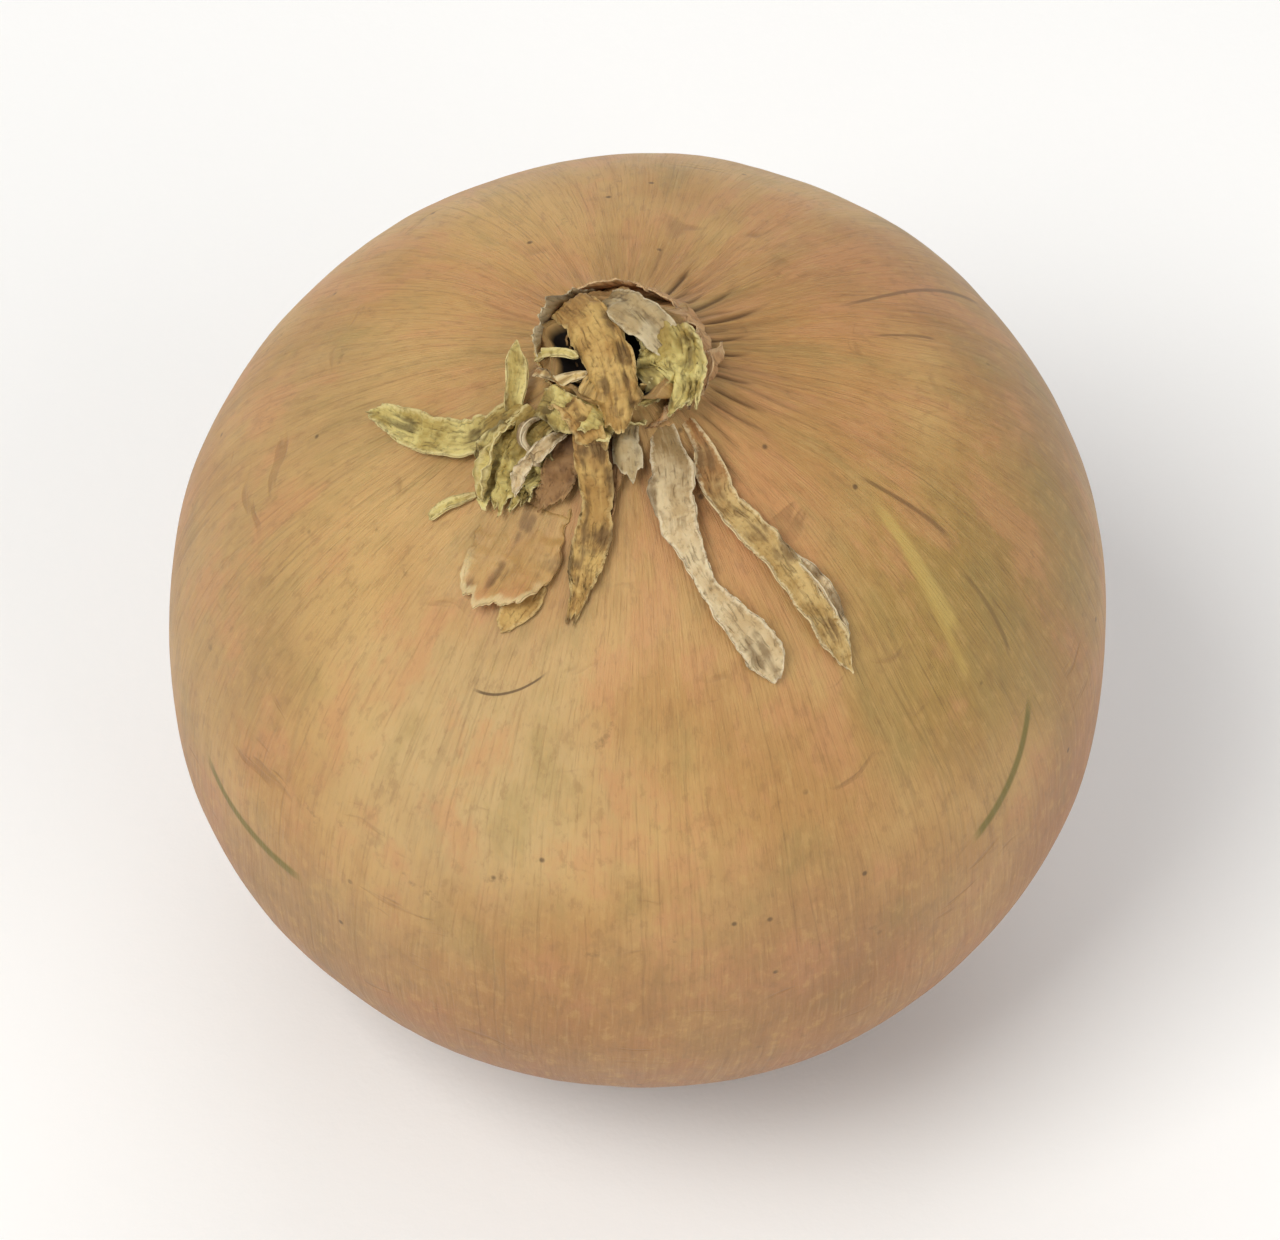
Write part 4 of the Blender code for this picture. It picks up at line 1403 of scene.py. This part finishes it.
@dataclass
class DriedNeck:
    """All the dried leaves at the neck.

    The sheaths wrap it, the inner ones first. The ends stand for the CAD nodes of their names, and the scraps
    are small torn pieces between them.
    """

    form: OnionForm
    sheaths: tuple[NeckSheath, ...] = (
        NeckSheath("sheath_core_back", LeafTone.BROWN, 95, 70, -1.7, 65.4, 68.8, 0.2, seed=21),
        NeckSheath("sheath_core_left", LeafTone.BROWN, 185, 50, -1.6, 65.4, 66.6, 0, seed=22),
        NeckSheath("sheath_core_front", LeafTone.GOLDEN, 275, 70, -1.2, 65, 67.6, 0, seed=23),
        NeckSheath("sheath_core_right", LeafTone.OLIVE, 5, 70, -1.1, 65, 68.8, 0, seed=24),
        NeckSheath(
            "sheath_back_left", LeafTone.SILVER, 138, 42, 0.05, 64.8, 69.7, 0.5, ragged_mm=1.8, seed=25
        ),
        NeckSheath("sheath_back", LeafTone.TAN, 88, 44, 0.2, 64.4, 68.6, 0.4, ragged_mm=1.4, seed=26),
        NeckSheath("sheath_right", LeafTone.TAN, 22, 46, 0.15, 64.4, 68, 0.3, ragged_mm=1.2, seed=27),
        NeckSheath("sheath_left", LeafTone.GOLDEN, 188, 34, 0.2, 64.6, 66.9, 0.3, ragged_mm=1.8, seed=28),
        NeckSheath("sheath_front", LeafTone.OLIVE, 238, 36, 0.3, 64.4, 67.2, 0.5, ragged_mm=1.6, seed=29),
        NeckSheath(
            "sheath_front_right", LeafTone.TAN, 318, 40, 0.2, 64.4, 66.8, 0.3, ragged_mm=1.6, seed=30
        ),
    )
    ends: tuple[DriedLeaf, ...] = (
        DriedLeaf(
            "leaf_end_left", LeafTone.OLIVE, over_skin(
                (208, 8, 1.5, 1.2), (209, 9.8, 1.2, 1.8), (209, 11.4, 0.9, 2.6),
                (207, 13, 0.7, 3.1, 8, 0.08), (201, 14.3, 0.5, 3, 4, 0.08), (194, 15.9, 0.5, 2.6, -6, 0.08),
                (188, 17.4, 0.5, 1.8, 0, 0.1), (184, 18.9, 0.6, 0.6),
            ), seed=31, ragged=0.25, crumple_mm=0.35, frill_mm=0.5, vein_mm=0.09,
        ),
        DriedLeaf(
            "leaf_end_fringe", LeafTone.OLIVE, over_skin(
                (222, 7.6, 1.6, 2.6), (223, 9.4, 1.7, 4.4, 5, 0.1), (226, 11.2, 1.5, 5.6, -6, -0.1),
                (229, 13.2, 1, 5.4, 6, 0.12), (232, 15.2, 0.6, 3.2, 0, 0.1),
            ), seed=32, crumple_mm=1.6, crumples_per_mm=0.8, ragged=0.7, frill_mm=0.9, fray=0.3,
        ),
        DriedLeaf(
            "leaf_end_upright", LeafTone.OLIVE, over_skin(
                (214, 9.4, 0.5, 1), (206, 8.4, 1.7, 1.4, 20, 0.2), (198, 7.6, 2.3, 1.7, 35, 0.25),
                (186, 7.1, 2.9, 1.6, 40, 0.2), (172, 6.9, 3.4, 0.7, 30, 0.1),
            ), seed=33, crumple_mm=0.15, ragged=0.2, point=0.25,
        ),
        DriedLeaf(
            "leaf_end_fold", LeafTone.GOLDEN, over_neck(
                (-4.7, 0.9, 67.2, 2.8, 0, -0.2), (-4.4, -0.4, 69.2, 3.6, 0, -0.3),
                (-3.3, -2.2, 69.8, 4.4, 0, -0.38), (-2.5, -4.2, 69.7, 4.7, 4, -0.4),
                (-1.9, -6.3, 69.1, 4.3, 6, -0.4), (-1.5, -8.1, 67.8, 3.4, 6, -0.35),
                (-1.3, -9.2, 66, 2.2, 0, -0.3),
            ), seed=34, crumple_mm=0.6, crumples_per_mm=0.7, vein_mm=0.3, ragged=0.3,
        ),
        DriedLeaf(
            "leaf_end_fan", LeafTone.OLIVE, over_neck(
                (0.9, -1.6, 67.6, 2.6), (1.5, -2.9, 69, 3.6, 15, -0.1), (1.9, -4.6, 68.4, 4.8, 20, -0.12),
                (1.8, -6.4, 67.2, 4.8, 15, -0.1), (1.2, -8, 65.8, 3.2, 0, -0.1),
            ),
            seed=35, crumple_mm=1.3, crumples_per_mm=0.8, ragged=0.4, frill_mm=0.7, fray=0.3, fold_mm=0.4,
        ),
        DriedLeaf(
            "leaf_end_front", LeafTone.GOLDEN, over_skin(
                (248, 4.6, 2.6, 2, 0, -0.2), (250, 6.6, 3.2, 2.6, 0, -0.4), (253, 8.2, 3.3, 3, 0, -0.45),
                (256, 9.8, 2.4, 3, 5, -0.35), (257, 11.4, 1.3, 2.4, 12, -0.2),
                (257, 13.6, 0.8, 2.8, 10, -0.1), (257, 16.4, 0.6, 2.4, 0, 0.1),
                (257, 18.2, 0.5, 1.8, 0, 0.1), (256, 20.2, 0.5, 1.2),
            ), seed=37, crumple_mm=0.5, ragged=0.4, fray=0.2,
        ),
        DriedLeaf(
            "leaf_end_grey", LeafTone.SILVER, over_skin(
                (273, 4.8, 1, 1.2), (271, 7.2, 2, 2.2, 0, -0.3), (270, 8.8, 1.5, 2, 0, -0.2),
                (269, 10.8, 0.8, 1.6),
            ), seed=38, crumple_mm=0.4, ragged=0.4, fray=0.25,
        ),
        DriedLeaf(
            "leaf_end_long", LeafTone.WHITE, over_skin(
                (294, 5, 0.4, 1), (289, 8, 1.3, 2.5, 0, -0.2), (286, 9.8, 1.1, 3.3, 0, 0.1),
                (283, 11.8, 0.9, 3.4, 8, 0.12), (283, 14.3, 0.7, 2.6, 5, 0.1),
                (285, 17, 0.5, 1.5, -8, 0.15), (289, 19.4, 0.5, 2.5, 0, 0.1),
                (292, 21.6, 0.5, 2.9, 0, 0.08), (293, 23.4, 0.6, 2.5, 0, 0.08),
            ), seed=39, crumple_mm=0.35, ragged=0.35, frill_mm=0.4, point=0.09, fray=0.03,
        ),
        DriedLeaf(
            "leaf_end_side", LeafTone.STRAW, over_skin(
                (308, 5.6, 0.4, 0.7), (304, 8.6, 0.9, 1.4), (300, 10.4, 0.8, 2.2, 0, -0.1),
                (298, 12.6, 0.6, 2.2, -10, 0.15), (301, 15.4, 0.6, 2.4, 0, 0.15),
                (304, 19.6, 0.6, 2.3, 5, 0.18), (305, 22.4, 0.5, 2.1, 0, 0.12), (305, 24.8, 0.6, 1.6),
            ), seed=40, crumple_mm=0.3, ragged=0.3, frill_mm=0.4,
        ),
        DriedLeaf(
            "skin_tongue", LeafTone.SKIN, over_skin(
                (238, 10, -0.6, 3), (238, 12.4, -0.4, 5), (239, 15, -0.1, 6.4, 4),
                (239, 17.4, 0.3, 6.6, 10, 0.03), (239, 19.4, 0.9, 5.6, 13, 0.05),
                (239, 20.9, 1.7, 4.4, 12, 0.08),
            ),
            slot="dry_skin", seed=41, crumple_mm=0.3, ragged=0.2, vein_mm=0.03, fold_mm=0.2, frill_mm=0.6,
            clearance_mm=-0.05, rooted_share=0.5, fray=0.09, point=0.12,
        ),
    )
    scraps: tuple[DriedLeaf, ...] = (
        DriedLeaf(
            "scrap_silver", LeafTone.SILVER, over_neck(
                (-2.4, 0.9, 67.6, 2), (-1.5, -0.4, 69.4, 2.8, -10, -0.1), (0.1, -1.9, 69.8, 3.2, -5, -0.15),
                (1.6, -3.2, 69.1, 2.8, 0, -0.1), (2.8, -4.3, 67.8, 1.8),
            ), seed=36, crumple_mm=0.4, vein_mm=0.12, ragged=0.4,
        ),
        DriedLeaf(
            "scrap_mass", LeafTone.OLIVE, over_neck(
                (-6.6, -5.8, 65.4, 2), (-5.7, -7, 66.8, 2.8, 0, -0.1), (-4.2, -7.8, 67.3, 3.4, 10, -0.15),
                (-2.6, -8.3, 66.9, 3.2, 10, -0.1), (-1.2, -8.5, 66, 2),
            ), seed=42, crumple_mm=1.3, crumples_per_mm=0.85, ragged=0.6, frill_mm=0.7, fold_mm=0.4,
        ),
        DriedLeaf(
            "scrap_mass_low", LeafTone.GOLDEN, over_neck(
                (-5.4, -6.4, 66.4, 1.8), (-4.6, -7.8, 67.9, 2.2, 0, -0.2), (-3.4, -9.2, 67, 2.6, 0, -0.2),
                (-2.6, -10.4, 65.6, 1.6),
            ), seed=52, crumple_mm=0.9, crumples_per_mm=0.8, ragged=0.6, frill_mm=0.5, fold_mm=0.3,
        ),
        DriedLeaf(
            "scrap_band", LeafTone.STRAW, over_neck(
                (-7, -4, 66.4, 0.7), (-6.3, -5, 67.6, 0.8, 0, -0.1), (-5, -5.8, 68, 0.7),
                (-3.2, -5.4, 68.2, 0.6),
            ), seed=43, crumple_mm=0.15, ragged=0.3,
        ),
        DriedLeaf(
            "scrap_band_high", LeafTone.OLIVE, over_neck(
                (-6.9, -3.2, 66.8, 0.6), (-6, -3.7, 68, 0.7), (-4.9, -4, 68.4, 0.7),
                (-3.9, -4.4, 68.4, 0.5),
            ), seed=44, crumple_mm=0.15, ragged=0.3,
        ),
        DriedLeaf(
            "scrap_curl", LeafTone.WHITE, over_skin(
                (222, 7.6, 1.6, 0.8, 0, 0.3), (223, 8.8, 2.5, 1.1, 30, 0.35),
                (227, 9.8, 2.8, 1.2, 60, 0.35), (233, 10.4, 2.4, 1, 90, 0.3), (236, 11, 1.7, 0.6, 110, 0.2),
            ), seed=45, crumple_mm=0.3, ragged=0.4,
        ),
        DriedLeaf(
            "scrap_curl_low", LeafTone.WHITE, over_skin(
                (238, 7.8, 2, 0.7, 0, 0.3), (236, 9.2, 2.7, 1.1, -30, 0.25),
                (233, 10.6, 2.5, 1.3, -50, 0.25), (232, 12.2, 1.9, 1, -20, 0.2), (234, 13.4, 1.2, 0.5),
            ), seed=46, crumple_mm=0.7, crumples_per_mm=0.9, ragged=0.7, frill_mm=0.5,
        ),
        DriedLeaf(
            "scrap_curl_left", LeafTone.OLIVE, over_skin(
                (216, 8.6, 1.2, 0.9, 0, 0.2), (218, 10.4, 2.3, 1.5, 30, 0.3),
                (222, 12.2, 2.4, 1.7, 40, 0.35), (225, 14, 1.8, 1.3, 30, 0.3), (226, 15.2, 1.1, 0.5),
            ), seed=53, crumple_mm=0.8, crumples_per_mm=0.8, ragged=0.6, frill_mm=0.5,
        ),
        DriedLeaf(
            "scrap_brown", LeafTone.BROWN, over_skin(
                (240, 6.8, 1.4, 2), (242, 9, 1.3, 2.6, 0, 0.1), (243, 11.2, 0.9, 2.4, 0, 0.15),
                (242, 13.4, 0.5, 1.4),
            ), seed=47, crumple_mm=0.7, ragged=0.6, frill_mm=0.5, fray=0.3,
        ),
        DriedLeaf(
            "scrap_under_front", LeafTone.BROWN, over_skin(
                (262, 6.8, 1.2, 2), (262, 9, 1, 2.2), (261, 11.4, 0.6, 1.6, 0, 0.1), (260, 13.6, 0.4, 0.8),
            ), seed=48, crumple_mm=0.5, ragged=0.5, fray=0.3,
        ),
        DriedLeaf(
            "scrap_under_tongue", LeafTone.GOLDEN, over_skin(
                (246, 15.4, -0.1, 1.2), (246, 17.2, 0.1, 2.2), (245, 19, 0.2, 2.6, 0, 0.06),
                (243, 20.8, 0.2, 1),
            ), seed=49, crumple_mm=0.3, ragged=0.3,
        ),
        DriedLeaf(
            "scrap_small", LeafTone.OLIVE, over_skin(
                (222, 14.6, 0.3, 0.4), (220, 15.6, 0.5, 0.8, 20, 0.2), (218, 16.8, 0.5, 0.9, 20, 0.2),
                (218, 17.9, 0.3, 0.3),
            ), seed=50, crumple_mm=0.2, ragged=0.3, rooted_share=0.02,
        ),
        DriedLeaf(
            "scrap_edge", LeafTone.WHITE, over_skin(
                (306, 17.2, 0.6, 0.3), (307, 18.8, 0.9, 0.9, -20, 0.3), (307.6, 20.8, 1, 1.1, -25, 0.35),
                (308, 22.8, 0.6, 0.3),
            ), seed=54, crumple_mm=0.15, ragged=0.3,
        ),
        DriedLeaf(
            "scrap_right", LeafTone.TAN, over_neck(
                (3.4, -2, 65.6, 1.6), (3.6, -3.2, 67, 2.2, 0, 0.1), (3.6, -5, 66.8, 2.4, 10, 0.15),
                (3.4, -6.6, 65.6, 1.6, 0, 0.1),
            ), seed=51, crumple_mm=0.8, crumples_per_mm=0.8, ragged=0.6, frill_mm=0.5, fray=0.3,
        ),
    )

    def build(self, finishes: dict[LeafTone, bpy.types.Material]) -> None:
        """Make every sheath, leaf end and scrap and attach it."""
        for sheath in self.sheaths:
            attach(sheath.build(self.form, finishes), "dried_leaf")
        for end in self.ends:
            attach(end.build(self.form, finishes), end.slot, end.name)
        for scrap in self.scraps:
            attach(scrap.build(self.form, finishes), scrap.slot)


# ----------------------------------------------------------------------------------------------------
# Roots
# ----------------------------------------------------------------------------------------------------


@dataclass
class RootTuft:
    """The corky root plate and the tuft of dried roots trimmed off under it, which the onion stands on.

    The plate's outline is a share of its radius and a height in millimetres for each ring.
    """

    form: OnionForm
    roots: int = 170
    sides: int = 6
    rings: int = 12
    seed: int = 51
    plate_radius: float = 0.0064
    plate_outline: tuple[tuple[float, float], ...] = (
        (0.25, 0.9), (0.6, 0.95), (0.9, 1.1), (1.0, 1.6), (0.99, 2.6)
    )
    plate_floor_mm: float = 0.9
    plate_top_mm: float = 2.7
    root_radius: float = 0.00030
    golden_angle: float = 2.39996
    least_height: float = 0.00001

    def build(self, material: bpy.types.Material) -> bpy.types.Object:
        """Make the plate and its roots as one piece.

        Args:
            material: The roots' material.

        Returns:
            The piece.
        """
        builder = MeshBuilder()
        self.add_plate(builder)
        random = np.random.default_rng(self.seed)
        for index in range(self.roots):
            self.add_root(builder, index, random)
        return builder.make("root_tuft", material)

    def add_plate(self, builder: MeshBuilder) -> None:
        """Add the knobbly corky plate that the roots grow from."""
        noise = Noise(self.seed)
        bearings = np.radians(np.arange(0, 360, 6.0))[None, :]
        profile = np.array(self.plate_outline)
        reach = profile[:, :1] * self.plate_radius
        height = profile[:, 1:] * MM + 0 * bearings
        flat = around_axis(bearings, reach / MM, height) * 0.8
        lumps = noise.octaves(flat[..., 0], flat[..., 1], 1.5)
        reach = reach * (1 + 0.06 * lumps)
        height = height + 0.0003 * lumps
        points = around_axis(bearings, reach, height)
        # The plate is darkened with painted shade, its two ends fully.
        values = {"fibre": points / MM, "hollow": np.full(height.shape, 0.55)}
        numbers = builder.add_points(points, values)
        builder.add_grid(numbers[:, ::-1], closed=True)
        ends = ((numbers[0], self.plate_floor_mm * MM, 1), (numbers[-1], self.plate_top_mm * MM, -1))
        for ring, level, turn in ends:
            values = {"fibre": np.zeros((1, 3)), "hollow": np.ones(1)}
            middle = builder.add_points(np.array([[0, 0, level]]), values)
            builder.add_fan(ring[::turn], int(middle[0]))

    def add_root(self, builder: MeshBuilder, index: int, random: np.random.Generator) -> None:
        """Add one dried root: it leaves the plate, bends out over the surface and is cut off."""
        bearing = index * self.golden_angle
        start = self.plate_radius * math.sqrt((index + 0.5) / self.roots)
        spread = start / self.plate_radius
        length = random.uniform(0.0016, 0.0034) + 0.0030 * spread**2 * random.uniform(0.5, 1.3)
        size = self.root_radius * random.uniform(0.6, 1.25)
        curl = random.uniform(-0.5, 0.5)
        shares = np.linspace(0, 1, self.rings)
        turn = bearing + curl * shares**2 + 0.12 * np.sin(shares * random.uniform(5, 9) + index)
        reach = start + length * spread * shares ** 0.9 + 0.0004 * shares * random.uniform(-1, 1)
        top = 0.0016 + 0.0003 * random.uniform(-1, 1)
        low = size * 1.02 + 0.0009 * random.uniform(0, 1) * spread
        height = low + (top - low) * (1 - shares) ** 1.6 + 0.00012 * np.sin(shares * 9 + index) * shares
        centre = around_axis(turn, reach, np.maximum(height, size))
        along = np.gradient(centre, axis=0)
        along /= np.linalg.norm(along, axis=1, keepdims=True)
        side = np.cross(along, np.array([0.31, 0.22, 0.93]))
        side /= np.linalg.norm(side, axis=1, keepdims=True)
        face = np.cross(side, along)
        around = np.radians(np.arange(self.sides) * 360 / self.sides)
        taper = size * (1 - 0.45 * shares**1.5) * (1 + 0.12 * np.sin(shares * 14 + index))
        cosines, sines = np.cos(around)[None, :, None], np.sin(around)[None, :, None]
        ring = side[:, None, :] * cosines + face[:, None, :] * sines
        points = centre[:, None, :] + ring * taper[:, None, None]
        points[..., 2] = np.maximum(points[..., 2], self.least_height)
        run_mm = np.broadcast_to((shares * length / MM)[:, None], points.shape[:-1])
        strand = np.full(points.shape[:-1], index * 1.37)
        fibre = np.stack([np.broadcast_to(np.cos(around) * 0.3, points.shape[:-1]), run_mm, strand], -1)
        # Painted shade where the root leaves the plate, fading along it.
        hollow = np.broadcast_to((0.6 * (1 - shares) ** 2)[:, None], points.shape[:-1])
        numbers = builder.add_points(points, {"fibre": fibre, "hollow": hollow})
        builder.add_grid(numbers, closed=True)
        for row, turn_way in ((0, -1), (-1, 1)):
            values = {"fibre": fibre[row][:1], "hollow": hollow[row][:1]}
            tip = builder.add_points(centre[row][None, :], values)
            builder.add_fan(numbers[row][::turn_way], int(tip[0]))


# ----------------------------------------------------------------------------------------------------
# Studio
# ----------------------------------------------------------------------------------------------------


@dataclass(frozen=True)
class SoftBox:
    """A square soft light: where it stands, its side in metres, its power in watts and its colour."""

    name: str
    place: tuple[float, float, float]
    side: float
    power: float
    colour: tuple[float, float, float]


@dataclass
class Studio:
    """A pale floor, soft lights and the camera that looks down on the onion."""

    target: tuple[float, float, float]
    elevation: float = 55.0
    focal_mm: float = 200.0
    sensor_mm: float = 36.0
    view_width: float = 0.0905
    floor_side: float = 6.0
    floor_light: Shade = (252, 252, 251)
    floor_dark: Shade = (247, 247, 246)
    boxes: tuple[SoftBox, ...] = (
        SoftBox("key", (-0.50, -0.40, 1.05), 0.6, 8.8, (1.0, 0.985, 0.95)),
        SoftBox("fill", (0.75, -0.65, 0.75), 0.9, 3.6, (1.0, 0.985, 0.96)),
        SoftBox("back", (0.1, 0.9, 0.8), 0.8, 3.0, (1.0, 1.0, 1.0)),
    )
    sky: Colour = (0.965, 0.965, 0.975, 1.0)
    sky_strength: float = 0.36

    def build(self) -> None:
        """Set up the whole studio."""
        self.add_floor()
        for box in self.boxes:
            self.add_light(box)
        self.add_sky()
        self.add_camera()
        bpy.context.scene.view_settings.view_transform = "Standard"
        log.info("studio: %d lights", len(self.boxes))

    def add_floor(self) -> None:
        """Lay the pale floor, a slightly uneven matt sheet."""
        shader = Shader("floor_paper", {"Specular IOR Level": 0.2})
        place = shader.place_mm()
        tooth = shader.noise(place, 0.6, 3.0)
        colour = shader.mix(0.25 * tooth, self.floor_light, self.floor_dark)
        material = shader.finish(colour, 0.75 + 0.1 * tooth, tooth, 0.00004)
        half = self.floor_side / 2
        line = np.linspace(-half, half, 9)
        x, y = np.meshgrid(line, line)
        builder = MeshBuilder()
        builder.add_grid(builder.add_points(np.stack([x, y, 0 * x], -1), {}))
        floor = builder.make("floor", material)

    def add_light(self, box: SoftBox) -> None:
        """Hang one soft light, turned to the onion."""
        lamp = bpy.data.lights.new(box.name, "AREA")
        lamp.shape = "SQUARE"
        lamp.size = box.side
        lamp.energy = box.power
        lamp.color = box.colour
        light = bpy.data.objects.new(box.name, lamp)
        light.location = box.place
        light.rotation_euler = (Vector(self.target) - Vector(box.place)).to_track_quat("-Z", "Y").to_euler()
        bpy.context.scene.collection.objects.link(light)

    def add_sky(self) -> None:
        """Fill the room with even light."""
        world = bpy.data.worlds.new("studio")
        world.use_nodes = True
        background = world.node_tree.nodes["Background"]
        background.inputs["Color"].default_value = self.sky
        background.inputs["Strength"].default_value = self.sky_strength
        bpy.context.scene.world = world

    def add_camera(self) -> None:
        """Stand the camera at its angle, far enough away for the view's width."""
        lens = bpy.data.cameras.new("camera")
        lens.lens = self.focal_mm
        lens.sensor_width = self.sensor_mm
        distance = self.view_width * self.focal_mm / self.sensor_mm
        tilt = math.radians(self.elevation)
        camera = bpy.data.objects.new("camera", lens)
        target = Vector(self.target)
        camera.location = target + distance * Vector((0, -math.cos(tilt), math.sin(tilt)))
        camera.rotation_euler = (target - camera.location).to_track_quat("-Z", "Y").to_euler()
        bpy.context.scene.collection.objects.link(camera)
        bpy.context.scene.camera = camera


def main() -> None:
    """Build the onion's looks round the CAD model, then the studio."""
    logging.basicConfig(level=logging.INFO, format="%(message)s")
    form = read_form()
    skin = BulbSkin(form).build(SkinFinish().build(form))
    attach(skin, "dry_skin", "bulb")
    finishes = {finish.tone: finish.build() for finish in LEAF_FINISHES}
    DriedNeck(form).build({**finishes, LeafTone.SKIN: skin.data.materials[0]})
    attach(RootTuft(form).build(RootFinish().build()), "dried_root", "root_pad")
    Studio(target=(0.0, 0.0, form.lift + 0.455 * form.height)).build()


if __name__ == "__main__":
    main()
